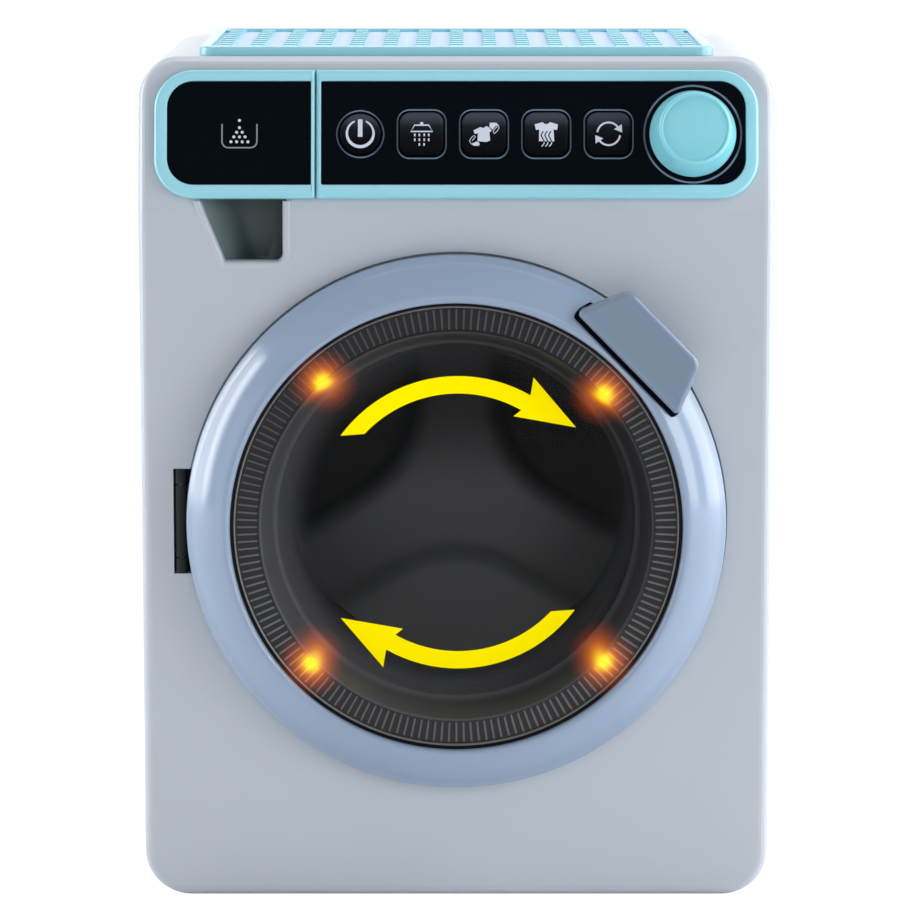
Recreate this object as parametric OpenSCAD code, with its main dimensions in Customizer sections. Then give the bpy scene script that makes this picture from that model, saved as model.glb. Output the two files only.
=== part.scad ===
// Toy washing machine with a front door, a driven drum, a detergent drawer, five keys and a programme knob.
// Millimetres, +Z up, the front faces -Y. Inside the modules y = 0 is the plane of the cabinet's front face,
// and place() moves every piece so that the origin is under the middle of the whole toy.

/* [Cabinet] */
// Width of the cabinet
body_w = 190; // [180:1:210]
// Depth of the cabinet without the door
body_d = 130; // [126:1:150]
// Height of the cabinet without the top grille
body_h = 255; // [250:1:262]
// Wall thickness of the cabinet and the rear cover
wall = 2.4; // [1.8:0.1:3]
// Corner radius at the top, seen from the front
corner_top = 12; // [8:1:16]
// Corner radius at the bottom, seen from the front
corner_low = 14; // [10:1:18]
// Radius of the rounded edge round the front face
front_fillet = 3; // [1.5:0.5:4]
// Height of the upper part that leans back
lean_h = 45; // [43:1:49]
// Angle by which the control panel leans back
lean = 12; // [8:1:15]

/* [Door] */
// Gap between the door's edge and the cabinet's side
door_side = 14; // [12:0.5:17]
// Width of the door's crowned ring
ring_w = 13.3; // [12:0.1:15]
// Distance from the leaning part down to the door's centre
door_below = 94; // [90:1:100]
// How far the door ring stands in front of the cabinet face
door_proud = 14.6; // [12:0.2:16]
// Height of the ring's upright rim in front of the cabinet face
rim_h = 4.6; // [3:0.2:6]
// Wall thickness of the door's mouldings
door_wall = 2.2; // [1.8:0.1:2.6]
// Radial gap between the ring and its seat in the cabinet
door_gap = 0.6; // [0.4:0.1:1]
// Depth of the seat sunk into the cabinet face
seat_depth = 2; // [1.6:0.1:2.4]
// Width of the sloping flank between the ribs and the dish
flank_w = 3.8; // [2.9:0.1:8]
// Width of the window's border with its ribs
border_w = 8.8; // [7.6:0.1:10]
// Wall thickness of the window
bowl_wall = 1.6; // [1.2:0.1:2]

/* [Door handle and latch] */
// Direction of the handle from the door's centre, anticlockwise from the right
handle_angle = 44.4; // [40:0.1:50]
// Gap between the glass and the handle's inner edge
handle_clear = 3; // [2.3:0.1:4.3]
// How far the handle reaches past the door's edge
handle_over = 6; // [4:0.5:8]
// Length of the handle's inner edge
handle_len_in = 42.2; // [36:0.2:44]
// Length of the handle's outer edge
handle_len_out = 33.2; // [26:0.2:34]
// Thickness of the handle
handle_t = 6.6; // [5:0.2:7]
// Gap between the handle's inner edge and the ring
handle_gap = 1.8; // [1.6:0.1:2]
// Width of the latch tongue
tongue_w = 7; // [5:0.5:9]

/* [Hinge] */
// Height of the hinge notch
notch_h = 32; // [30:1:36]
// Distance of the hinge pin to the left of the door ring
hinge_out = 2; // [2:0.1:2.4]
// Distance of the hinge pin behind the cabinet face
hinge_in = 1.2; // [0.8:0.1:1.3]
// Diameter of the hinge pin
hinge_pin_d = 1.8; // [1.6:0.1:2]
// Outer diameter of the hinge knuckle and its lugs
knuckle_d = 3.6; // [3.4:0.1:3.8]
// Length of the knuckle on the door
knuckle_len = 22; // [18:1:23]

/* [Drum and tub] */
// How much smaller the drum is than the dish, on each side
drum_in = 0.1; // [0:0.1:5]
// Room between the motor and the rear cover
motor_room = 5.8; // [4:0.2:12]
// Wall thickness of the drum and the tub
drum_wall = 1.6; // [1.2:0.1:2]
// Radial gap between the drum and the tub
drum_gap = 2; // [1.4:0.1:2.2]
// Diameter of the drum shaft
shaft_d = 6; // [5:0.5:7]
// Height of the raised star on the drum's back
star_h = 7; // [4:0.5:9]
// Width of the star's arms
arm_w = 23; // [16:0.5:28]
// Radius of the round hollows between the star's arms
star_fillet = 35; // [20:1:40]

/* [Drive] */
// Gear module
gear_m = 0.8; // [0.76:0.02:0.84]
// Teeth of the drum gear
drum_teeth = 60; // [54:2:64]
// Teeth of the idler's large wheel
idler_teeth = 48; // [42:2:50]
// Teeth of the motor pinion and of the idler's small wheel
pinion_teeth = 12; // [12:1:14]
// Width of a gear's teeth
gear_w = 5; // [4:0.5:5]
// Diameter of the motor
motor_d = 20; // [18:0.5:21]
// Length of the motor's can
motor_len = 25; // [20:1:26]
// Diameter of the idler's pin
idler_pin_d = 3; // [2.5:0.1:3.4]

/* [Control panel] */
// Height of the turquoise bezel along the leaning face
bezel_h = 38.5; // [37:0.5:40]
// Gap between the bezel and the cabinet's side
bezel_side = 5; // [4:0.5:7]
// Thickness of the bezel
bezel_t = 3.2; // [2.8:0.1:4]
// Distance of the bezel's lower edge above the start of the lean
bezel_up = 3.3; // [3:0.1:4.5]
// Outer corner radius of the bezel
bezel_r = 11.7; // [9:0.1:14]
// Thickness of the black panel inside the bezel
panel_t = 2.4; // [2:0.1:2.6]
// Side of a square key
key_w = 13; // [11:0.5:14]
// Distance between the square keys
key_pitch = 18.55; // [18:0.05:19]
// Place of the first square key across the panel
key_x = -10.3; // [-12:0.1:-9]
// Diameter of the power key
power_d = 12.2; // [11:0.1:13]
// Place of the power key across the panel
power_x = -28.6; // [-30:0.1:-28]
// How far a key stands out of the panel
key_proud = 1; // [0.9:0.1:1.6]
// How far a key can be pressed
key_travel = 0.8; // [0.5:0.1:0.9]
// Diameter of the knob at its foot
knob_d = 25.8; // [22:0.2:28]
// Diameter of the knob's front face
knob_face_d = 20.4; // [16:0.2:22]
// Height of the knob
knob_h = 13.6; // [10:0.2:14]
// Distance from the bezel's end to the knob's axis
knob_in = 19.6; // [18.5:0.1:21]

/* [Drawer] */
// Width of the drawer front
drawer_front_w = 47.9; // [46:0.1:49]
// Outer width of the drawer's tray
tray_w = 34.4; // [28:0.2:36]
// Outer height of the drawer's tray
tray_h = 27; // [20:0.5:28]
// Distance that the tray reaches behind the cabinet face
tray_len = 74; // [60:1:80]
// Wall thickness of the tray and its guide
tray_wall = 1.4; // [1.1:0.1:1.8]
// Depth of the finger recess under the drawer
recess_depth = 13; // [10:0.5:14]
// Height of the finger recess below the bezel
recess_h = 19.6; // [16:0.2:22]

/* [Top grille] */
// Width of the top grille
grille_w = 154.4; // [140:0.2:156]
// Gap between the grille and the cabinet's back
grille_back = 11.8; // [9:0.2:20]
// Thickness of the top grille
grille_t = 2.5; // [2:0.1:4]
// Distance between the grille's bars
bar_pitch = 10.05; // [8:0.05:12]
// Width of a bar
bar_w = 3.9; // [3:0.1:4.5]

/* [Batteries and sound] */
// Diameter of a battery cell
cell_d = 14.2; // [13.5:0.1:14.5]
// Length of a battery cell
cell_len = 50; // [48:0.5:50.5]
// Number of battery cells
cells = 3; // [2:1:3]
// Diameter of the speaker
speaker_d = 36; // [28:1:38]

/* [Clearances] */
// Radial clearance of a running fit
run_fit = 0.05; // [0.03:0.01:0.09]
// Clearance round a piece that slides or is pressed
slide_fit = 0.3; // [0.2:0.05:0.4]
// Gap at a piece that is only laid in
seat_fit = 0.2; // [0.1:0.05:0.3]
// Diameter of a screw's thread
screw_d = 2.2; // [2:0.1:2.4]
// Diameter of a screw's head
head_d = 4.2; // [3.8:0.1:4.4]

/* [Hidden] */

$fn = 96;
eps = 0.01;
press = 0.01;
far = 400;

shell_grey = [0.70, 0.72, 0.74];
turquoise = [0.56, 0.83, 0.88];
gloss_black = [0.03, 0.04, 0.06];
ring_blue = [0.60, 0.67, 0.77];
smoke = [0.16, 0.16, 0.17];
dark_grey = [0.22, 0.22, 0.23];
steel = [0.72, 0.72, 0.74];
brass = [0.80, 0.66, 0.34];
ivory = [0.90, 0.89, 0.85];
board_green = [0.12, 0.38, 0.22];
amber = [1.00, 0.55, 0.08];

pilot_d = screw_d + 2 * press;

lean_z = body_h - lean_h;
door_z = lean_z - door_below;
door_d = body_w - 2 * door_side;
glass_d = door_d - 2 * ring_w;
rib_d = glass_d - 2 * border_w;
bowl_d = rib_d - 2 * flank_w;
handle_in = glass_d / 2 + handle_clear;
handle_out = door_d / 2 + handle_over;
drum_d = bowl_d - 2 * drum_in;
bezel_w = body_w - 2 * bezel_side;
knob_x = bezel_w / 2 - knob_in;

// Control panel frame: x across, s up the slope, t out of it
panel_len = (body_h - lean_z) / cos(lean);
front_end = (body_h - lean_z) * tan(lean) + front_fillet;
panel_mid = bezel_up + bezel_h / 2 - 0.05;
drawer_x = -bezel_w / 2 + drawer_front_w / 2;
split_gap = 0.4;
bezel_x0 = -bezel_w / 2 + drawer_front_w + split_gap;
border_top = 3.4;
border_low = 4.0;
border_side = 3.8;
border_split = 1.4;
border_drawer = 0.9;
panel_r = bezel_r - border_side;
shaft_hole_d = 9;
encoder_shaft_d = 6;
board_t0 = -9.6;
board_th = 1.6;
board_down = 14.5;
key_flange = 1.3;
key_foot = -wall - slide_fit - key_flange;
key_stem_end = -6.6;
keys_x = [for (i = [0 : 3]) key_x + i * key_pitch];
board_post_x = [power_x + 9.15, key_x + 3 * key_pitch + 10.2];
board_post_s = [panel_mid - 11.2, panel_mid + 11.2];

grille_y0 = front_end + 2.6;
grille_d = body_d - grille_y0 - grille_back;
grille_border = 3;

// Door, radii and depths from the cabinet's front face
door_r = door_d / 2;
glass_r = glass_d / 2;
seat_r = door_r + door_gap;
door_back_y = seat_depth - 0.6;
flange_y = -door_proud + 3.2;
flange_r = glass_r + 1.5;
flange_t = 1.8;
peg_d = 4;
peg_pad_d = 9;
collar_r = glass_r - 1.7;
hole_r = glass_r + 0.8;
seat_floor = seat_depth + wall;
screw_ring_r = door_r - 6.5;
door_screw_angles = [4, 90, 135, 225, 270, 318];
bowl_back_y = door_back_y + bowl_wall;
rib_y = flange_y + 0.5;
crown_out = [door_r - 1.2, -rim_h - 1.2];
crown_in = [glass_r + 1.9, -door_proud + 0.15];
crown_rise = 0.9;

// Hinge
hinge_x = -door_r - hinge_out;
hinge_y = hinge_in;
notch_x0 = hinge_x - knuckle_d / 2 - 0.4;
arm_t = 2;
arm_end = -door_r + 10;
arm_screw_x = -screw_ring_r;
arm_screw_z = 7;
bracket_h = notch_h + 20;
bracket_x0 = notch_x0 - 5;
bracket_x1 = hinge_x + 9;
lug_len = notch_h / 2 - seat_fit - knuckle_len / 2 - slide_fit;
lug_z = knuckle_len / 2 + slide_fit;
bracket_screw_z = notch_h / 2 + 5;

// Handle and latch, in the handle's own frame: x along its direction, z along the ring
handle_front = -door_proud - 1.6;
handle_back = handle_front + handle_t;
handle_r_in = 1.4;
handle_r_out = 4.4;
handle_pin_x = handle_in + 4.2;
handle_pin_y = handle_front + 5.4;
handle_pin_d = 2;
handle_pin_len = 30;
handle_lug = 5;
handle_post_z = 8;
handle_post_t = 3;
tongue_room = 0.5;
pocket_side = 0.5;
pocket_deep = handle_pin_y + handle_lug / 2 + 0.5;
tongue_x = handle_pin_x + 0.4;
tongue_t = 1.8;
tongue_end = seat_floor + 2.6;
handle_turn = 10;
tongue_swing = (tongue_end - handle_pin_y) * sin(handle_turn);
handle_under = flange_y - 2;
catch_t = 3;
catch_rim = 1.2;
catch_x0 = tongue_x - tongue_t / 2 - tongue_room - 0.1;
catch_w = tongue_t + tongue_swing + 2 * tongue_room;

cover_in = 1.6;

// Tub and drum
tub_y0 = seat_floor;
tub_flange_t = 2;
tub_r = drum_d / 2 + drum_gap;
tub_flange_r = door_r - 8.5;
drum_y0 = tub_y0 + 3;
hub_len = 4;
hub_r = shaft_d / 2 + 4;
tub_back_t = 2.2;
bush_r = shaft_d / 2 + 2;
bush_len = 5;
lamp_d = 3;
lamp_r = tub_r + 4;
lamp_angles = [45, 135, 225, 315];
ear_r = door_r + 7;
ear_angles = [72, 135, 225, 315];
ear_size = 4;
// Necks that join the ears to the tub's flange
ear_root = 3;
ear_neck_w = 2 * ear_size - 1.2;
tub_lip = 0.3;

// Gear train behind the tub
pressure = 25;
backlash = 0.16;
cover_t = 2;
cover_y = body_d - cover_in - wall - motor_room - motor_len - cover_t;
idler_big_y = cover_y - gear_w - 1.6;
drum_gear_y = idler_big_y - gear_w - 1.4;
tub_back_y = drum_gear_y - 4.6 - tub_back_t;
drum_y1 = tub_back_y - hub_len - 2;
drum_len = drum_y1 - drum_y0;
drum_rp = drum_teeth * gear_m / 2;
idler_rp = idler_teeth * gear_m / 2;
pinion_rp = pinion_teeth * gear_m / 2;
idler_z = door_z + drum_rp + pinion_rp;
motor_x = idler_rp + pinion_rp;
motor_z = idler_z;
cover_x0 = -drum_rp - 5;
cover_x1 = motor_x + motor_d / 2 + 3;
cover_z0 = door_z - drum_rp - 5;
cover_z1 = idler_z + idler_rp + 3.5;
cover_screw_in = 3.6;

// Drawer
tray_x = drawer_x;
tray_z = lean_z + 6;
tray_gap = slide_fit + 0.2;
guide_y0 = recess_depth + 4;
guide_y1 = tray_len + 10;
guide_gap = 0.4;
guide_top = tray_z + tray_h + guide_gap;
guide_out = tray_w / 2 + guide_gap + tray_wall;
guide_ear_y = [guide_y0 + 8, guide_y1 - 8];
guide_ear_x = tray_x + guide_out + 4;
guide_ear_w = 8.6;
guide_ear_t = 2;
recess_top = lean_z + bezel_up * cos(lean) + 2.6;
recess_low = lean_z + bezel_up * cos(lean) - recess_h;
recess_x1 = tray_x + 15.4;
recess_x0_top = tray_x - 11.4;
recess_x0_low = tray_x - 4.6;
recess_r = 3.4;
recess_wall = 1.8;

// Rear cover, battery compartment and speaker
rear_y0 = body_d - cover_in - wall;
rear_y1 = body_d - cover_in;
post_r = 4;
post_len = 26;
post_x = body_w / 2 - wall - post_r - 0.4;
post_in = 24;
post_z = [post_in, body_h / 2, body_h - post_in];
cell_pitch = cell_d + 1;
box_wall = 1.6;
contact_room = 4.4;
contact_t = 0.5;
contact_gap = 0.04;
dimple_h = contact_room - contact_t - contact_gap;
box_w = cell_len + 2 * contact_room;
box_h = cells * cell_pitch + 1;
box_z = 12;
battery_lid_t = 1.8;
box_y0 = rear_y1 - battery_lid_t - cell_d - 1.2;
lid_lip = 2;
lid_screw_z = box_z + box_h + 6;
lid_screw_boss = 6;
cell_y = box_y0 + 0.4 + cell_d / 2;
speaker_x = box_w / 2 + speaker_d / 2 + 9;
speaker_z = box_z + speaker_d / 2 + 8;
speaker_t = 5;
lead_t = 1.2;
lead_w = 4;
lead_z = lean_z - 4;
lead_bend_y = 40;
lamp_lead_x = 34;
plug_s0 = 14;
plug_s = 5;
plug_t = 5;

// Whole toy
handle_reach = -handle_front;
knob_reach = (knob_h + bezel_t) * cos(lean) - (panel_mid - knob_face_d / 2) * sin(lean);
front_reach = max(handle_reach, knob_reach);
front_y = -(body_d - front_reach) / 2;

module place() {
  translate([0, front_y, 0]) children();
}

module slab(y0, y1) {
  translate([0, y1, 0]) rotate([90, 0, 0]) linear_extrude(y1 - y0) children();
}

module rod_y(d, y0, y1, x = 0, z = 0) {
  translate([x, y0, z]) rotate([-90, 0, 0]) cylinder(d = d, h = y1 - y0);
}

module turned_y() {
  translate([0, 0, door_z]) rotate([-90, 0, 0]) rotate_extrude($fn = 180) children();
}

// Children of on_panel use x across, y into the wall and z up the slope
module on_panel() {
  translate([0, 0, lean_z]) rotate([-lean, 0, 0]) children();
}

module panel_slab(t0, t1) {
  on_panel() slab(-t1, -t0) children();
}

// Children of at_handle use x outwards from the door's centre and z along the ring
module at_handle() {
  translate([0, 0, door_z]) rotate([0, -handle_angle, 0]) children();
}

function equal(r) = [for (i = [0 : 3]) r];

// A rectangle with a radius for each corner: low left, low right, top right, top left
module round_rect(x0, x1, z0, z1, r) {
  corners = [[x0, z0, 1, 1], [x1, z0, -1, 1], [x1, z1, -1, -1], [x0, z1, 1, -1]];
  polygon([for (i = [0 : 3]) let (c = corners[i])
    each r[i] > 0 ? arc([c[0] + c[2] * r[i], c[1] + c[3] * r[i]], r[i], 180 + 90 * i, 270 + 90 * i,
      max(4, ceil(r[i]))) : [[c[0], c[1]]]]);
}

module cabinet_outline(inset = 0) {
  low = max(corner_low - inset, 1);
  top = max(corner_top - inset, 1);
  round_rect(-body_w / 2 + inset, body_w / 2 - inset, inset, body_h - inset, [low, low, top, top]);
}

module ring_of(angles, r, a0 = 0) {
  for (a = angles) translate([r * cos(a + a0), 0, door_z + r * sin(a + a0)]) children();
}

// A screw along Y with its head at y0, driven towards +Y or, with flip, towards -Y
module screw_y(y0, len, flip = false) {
  turn = flip ? 90 : -90;
  translate([0, y0, 0]) rotate([turn, 0, 0]) {
    difference() {
      cylinder(d = head_d, h = 1.4);
      translate([-head_d * 0.3, -0.35, -eps]) cube([head_d * 0.6, 0.7, 0.7]);
      translate([-0.35, -head_d * 0.3, -eps]) cube([0.7, head_d * 0.6, 0.7]);
    }
    translate([0, 0, 1.4]) cylinder(d = screw_d, h = len - 1.4);
  }
}

// Cabinet
module cabinet_skin() {
  slab(front_end, body_d) cabinet_outline();
  cabinet_front();
}

module cabinet_front() {
  hull() {
    slab(front_end, front_end + eps) cabinet_outline();
    for (a = [0 : 18 : 90]) {
      inset = front_fillet * (1 - cos(a));
      y = front_fillet * (1 - sin(a));
      slab(y, y + eps) intersection() {
        cabinet_outline(inset);
        translate([-far / 2, 0]) square([far, lean_z]);
      }
      top = corner_top - inset;
      on_panel() slab(y, y + eps)
        round_rect(-body_w / 2 + inset, body_w / 2 - inset, 0, panel_len - inset, [0, 0, top, top]);
    }
  }
}

module cabinet_cavity() {
  intersection() {
    slab(wall, body_d + 1) cabinet_outline(wall);
    on_panel() translate([-far / 2, wall, -far]) cube([far, far, 2 * far]);
  }
}

module recess_outline(grow = 0, up = 0) {
  r = recess_r + grow;
  slope = (recess_x0_low - recess_x0_top) / (recess_top - recess_low);
  difference() {
    round_rect(recess_x0_top - grow - 2, recess_x1 + grow, recess_low - grow, recess_top + up, [0, r, 0, 0]);
    polygon([[recess_x0_top - grow - 10, recess_top + up + 1],
      [recess_x0_top - grow - slope * (up + 1), recess_top + up + 1],
      [recess_x0_low - grow + slope * grow, recess_low - grow - eps],
      [recess_x0_top - grow - 10, recess_low - grow - eps]]);
  }
}

module board_posts(d, t0, t1) {
  for (x = board_post_x, s = board_post_s) on_panel() rod_y(d, -t1, -t0, x, s);
}

module rear_posts(d, y0, y1) {
  for (side = [-1, 1], z = post_z) rod_y(d, y0, y1, side * post_x, z);
}

module guide_posts(d, z0, z1) {
  for (y = guide_ear_y) translate([guide_ear_x, y, z0]) cylinder(d = d, h = z1 - z0);
}

function peg_place(side, end) = [side * (grille_w / 2 - 5), grille_y0 + 5 + end * (grille_d - 10)];

module grille_pegs(d, z0, z1) {
  for (side = [-1, 1], end = [0, 1]) translate(concat(peg_place(side, end), [z0])) cylinder(d = d, h = z1 - z0);
}

module key_shape(grow = 0) {
  w = key_w + 2 * grow;
  for (x = keys_x) round_rect(x - w / 2, x + w / 2, panel_mid - w / 2, panel_mid + w / 2,
    equal(3.2 + grow));
  translate([power_x, panel_mid]) circle(d = power_d + 2 * grow);
}

module cabinet() {
  color(shell_grey) place() difference() {
    union() {
      difference() {
        cabinet_skin();
        cabinet_cavity();
      }
      // Thicker disc that carries the door's seat, with a pad for the hinge bracket
      slab(wall - eps, seat_floor) translate([0, door_z]) circle(r = seat_r + 2.4);
      slab(wall - eps, seat_floor) translate([bracket_x0, door_z - bracket_h / 2])
        square([bracket_x1 - bracket_x0, bracket_h]);
      // Posts for the tub's ears
      ring_of(ear_angles, ear_r) rod_y(2 * ear_size, wall - eps, seat_floor);
      // Finger recess, a pocket behind the face
      intersection() {
        slab(wall - eps, recess_depth + recess_wall) recess_outline(recess_wall, -0.6);
        on_panel() translate([-far / 2, wall - eps, -far]) cube([far, far, 2 * far]);
      }
      board_posts(5.4, board_t0, -wall + eps);
      // Posts for the rear cover, joined to the side walls
      intersection() {
        slab(rear_y0 - post_len, rear_y0) cabinet_outline(wall - eps);
        union() {
          rear_posts(2 * post_r, rear_y0 - post_len, rear_y0);
          for (side = [-1, 1], z = post_z)
            translate([side < 0 ? -post_x - post_r - 2 : post_x, rear_y0 - post_len, z - 1])
              cube([post_r + 2, post_len, 2]);
        }
      }
      guide_posts(6, guide_top - tray_wall + guide_ear_t, body_h - wall + eps);
    }
    // Seat, door hole and hinge notch
    slab(-1, seat_depth) translate([0, door_z]) circle(r = seat_r);
    slab(-1, seat_floor + 1) translate([0, door_z]) circle(r = hole_r);
    slab(-1, seat_floor + 1) translate([notch_x0, door_z - notch_h / 2]) square([24, notch_h]);
    // Slot for the latch tongue
    at_handle() translate([catch_x0, seat_depth - 1, -tongue_w / 2 - 1])
      cube([catch_w, wall + 2, tongue_w + 2]);
    // Finger recess and drawer opening
    slab(-1, recess_depth) recess_outline();
    translate([tray_x - tray_w / 2 - tray_gap, -1, tray_z - tray_gap])
      cube([tray_w + 2 * tray_gap, guide_y0 + 1, tray_h + 2 * tray_gap]);
    // Keys and knob shaft
    on_panel() slab(-1, wall + 0.6) key_shape(slide_fit);
    on_panel() rod_y(shaft_hole_d, -1, wall + 1, knob_x, panel_mid);
    // Screw holes
    board_posts(pilot_d, board_t0 - 1, -wall - 0.6);
    rear_posts(pilot_d, rear_y0 - 9, rear_y0 + 1);
    guide_posts(pilot_d, guide_top - tray_wall, body_h - wall - 1);
    ring_of(ear_angles, ear_r) rod_y(pilot_d, 1.2, seat_floor + 1);
    for (side = [-1, 1])
      rod_y(pilot_d, 1.2, seat_floor + 1, hinge_x, door_z + side * bracket_screw_z);
    grille_pegs(peg_d + 2 * run_fit, body_h - wall - 1, body_h + 1);
  }
}

// Top grille
module top_grille() {
  border = grille_border;
  y0 = grille_y0;
  bars = floor((grille_w / 2 - border - bar_w / 2) / bar_pitch);
  color(turquoise) place() {
    translate([0, 0, body_h]) linear_extrude(grille_t) {
      difference() {
        round_rect(-grille_w / 2, grille_w / 2, y0, y0 + grille_d, equal(5));
        round_rect(-grille_w / 2 + border, grille_w / 2 - border, y0 + border, y0 + grille_d - border,
          equal(2));
      }
      for (i = [-bars : bars]) translate([i * bar_pitch - bar_w / 2, y0 + border - eps])
        square([bar_w, grille_d - 2 * border + 2 * eps]);
      intersection() {
        round_rect(-grille_w / 2, grille_w / 2, y0, y0 + grille_d, equal(5));
        for (side = [-1, 1], end = [0, 1]) translate(peg_place(side, end)) circle(d = peg_pad_d);
      }
    }
    grille_pegs(peg_d, body_h - wall - 1.2, body_h + 1);
  }
}

// Control panel
module bezel_outline(inset_low = 0, inset_top = 0, inset_side = 0, fit = 0) {
  r = bezel_r - inset_side;
  round_rect(bezel_x0 + (inset_side > 0 ? border_split : 0) + fit, bezel_w / 2 - inset_side,
    bezel_up + inset_low, bezel_up + bezel_h - inset_top, [0.6, r, r, 0.6]);
}

module control_bezel() {
  color(turquoise) place() panel_slab(0, bezel_t) difference() {
    bezel_outline();
    bezel_outline(border_low, border_top, border_side);
  }
}

module control_window() {
  fit = seat_fit / 2;
  color(gloss_black) place() panel_slab(0, panel_t) difference() {
    bezel_outline(border_low + fit, border_top + fit, border_side + fit, fit);
    key_shape(slide_fit);
    translate([knob_x, panel_mid]) circle(d = shaft_hole_d);
  }
}

module key_body() {
  panel_slab(key_foot + key_flange - eps, panel_t + key_proud) children(0);
  panel_slab(key_foot, key_foot + key_flange) children(1);
}

module square_key(i) {
  x = keys_x[i];
  w = key_w / 2;
  flange = key_w / 2 + 1.3;
  color(gloss_black) place() {
    key_body() {
      round_rect(x - w, x + w, panel_mid - w, panel_mid + w, equal(3.2));
      round_rect(x - flange, x + flange, panel_mid - flange, panel_mid + flange, equal(2));
    }
    on_panel() rod_y(4, -key_foot - eps, -key_stem_end, x, panel_mid);
  }
}

module key_1() { square_key(0); }
module key_2() { square_key(1); }
module key_3() { square_key(2); }
module key_4() { square_key(3); }

module power_key() {
  color(gloss_black) place() {
    key_body() {
      translate([power_x, panel_mid]) circle(d = power_d);
      translate([power_x, panel_mid]) circle(d = power_d + 2);
    }
    on_panel() rod_y(4, -key_foot - eps, -key_stem_end, power_x, panel_mid);
  }
}

module control_board() {
  color(board_green) place() difference() {
    panel_slab(board_t0 - board_th, board_t0)
      round_rect(power_x - 9, knob_x + 12, panel_mid - board_down, panel_mid + 14, equal(1));
    board_posts(screw_d + 0.4, board_t0 - board_th - 1, board_t0 + 1);
    on_panel() rod_y(encoder_shaft_d + 1, -board_t0 - 1, -board_t0 + board_th + 1, knob_x, panel_mid);
  }
}

module board_screws() {
  color(steel) place() for (x = board_post_x, s = board_post_s)
    on_panel() translate([x, 0, s]) screw_y(-board_t0 + board_th + 1.4, 1.4 + board_th + 5, true);
}

module tact_switches() {
  body_top = board_t0 + 1.6;
  color(dark_grey) place() for (x = concat([power_x], keys_x)) {
    panel_slab(board_t0, body_top) translate([x, panel_mid]) square(6, center = true);
    on_panel() rod_y(3.4, -key_stem_end + key_travel + 0.15, -body_top + eps, x, panel_mid);
  }
}

module encoder_body() {
  top = -wall - 1;
  color(steel) place() difference() {
    union() {
      panel_slab(board_t0, top) translate([knob_x, panel_mid]) square(12, center = true);
      on_panel() rod_y(8.4, -0.6, -top + eps, knob_x, panel_mid);
    }
    on_panel() rod_y(encoder_shaft_d + 2 * run_fit, -2, -board_t0 + 1, knob_x, panel_mid);
  }
}

module encoder_shaft() {
  color(steel) place()
    on_panel() rod_y(encoder_shaft_d, -bezel_t - knob_h + 3, -board_t0 + board_th, knob_x, panel_mid);
}

module knob() {
  foot = panel_t + 0.5;
  color(turquoise) place() on_panel() translate([knob_x, 0, panel_mid]) difference() {
    rotate([90, 0, 0]) rotate_extrude() polygon([[0, foot], [knob_d / 2, foot], [knob_d / 2, foot + 1.4],
      [knob_face_d / 2 + 0.9, knob_h + bezel_t - 1], [knob_face_d / 2 + 0.5, knob_h + bezel_t - 0.3],
      [knob_face_d / 2 - 0.3, knob_h + bezel_t], [0, knob_h + bezel_t]]);
    // Hollow skirt and the socket for the shaft
    rotate([90, 0, 0]) translate([0, 0, foot - eps]) difference() {
      cylinder(d1 = knob_d - 4, d2 = knob_face_d - 3.4, h = knob_h - 4);
      cylinder(d = encoder_shaft_d + 4, h = knob_h);
    }
    rod_y(encoder_shaft_d + 2 * press, -bezel_t - knob_h + 3, 0);
  }
}

// Drawer
module drawer_outline(low = 0, top = 0, side = 0, right = 0) {
  r = bezel_r - side;
  round_rect(-bezel_w / 2 + side, -bezel_w / 2 + drawer_front_w - right, bezel_up + low,
    bezel_up + bezel_h - top, [r, 0.6, 0.6, r]);
}

module drawer_front() {
  color(turquoise) place() {
    panel_slab(slide_fit, panel_t - 1.2) drawer_outline();
    panel_slab(panel_t - 1.2 - eps, bezel_t) difference() {
      drawer_outline();
      drawer_outline(border_low, border_top, border_side, border_drawer);
    }
  }
}

module drawer_window() {
  fit = seat_fit / 2;
  color(gloss_black) place() panel_slab(panel_t - 1.2, panel_t)
    drawer_outline(border_low + fit, border_top + fit, border_side + fit, border_drawer + fit);
}

module drawer_tray() {
  x0 = tray_x - tray_w / 2;
  color(ivory) place() intersection() {
    difference() {
      translate([x0, -20, tray_z]) cube([tray_w, tray_len + 20, tray_h]);
      translate([x0 + tray_wall, 14, tray_z + tray_wall])
        cube([tray_w - 2 * tray_wall, tray_len - tray_wall - 14, tray_h]);
      translate([x0 + tray_wall, -20, tray_z + tray_wall])
        cube([tray_w - 2 * tray_wall, 20 + 14 - tray_wall, tray_h - 2 * tray_wall]);
    }
    on_panel() translate([-far / 2, -slide_fit, -far]) cube([far, far, 2 * far]);
  }
}

module drawer_guide() {
  in_x = tray_w / 2 + guide_gap;
  color(ivory) place() difference() {
    union() {
      translate([tray_x - guide_out, guide_y0, tray_z - guide_gap - tray_wall])
        cube([2 * guide_out, guide_y1 - guide_y0, guide_top - tray_z + guide_gap + tray_wall]);
      for (y = guide_ear_y) translate([tray_x + guide_out - eps, y - guide_ear_w / 2, guide_top - tray_wall])
        cube([guide_ear_w, guide_ear_w, guide_ear_t]);
    }
    translate([tray_x - in_x, guide_y0 - 1, tray_z - guide_gap])
      cube([2 * in_x, guide_y1 - guide_y0 - tray_wall + 1, guide_top - tray_z + guide_gap + 1]);
    guide_posts(screw_d + 0.4, guide_top - tray_wall - 1, guide_top + guide_ear_t);
  }
}

module guide_screws() {
  color(steel) place() for (y = guide_ear_y) translate([guide_ear_x, y, guide_top - tray_wall - 1.4])
    rotate([90, 0, 0]) screw_y(0, 7, false);
}

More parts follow.
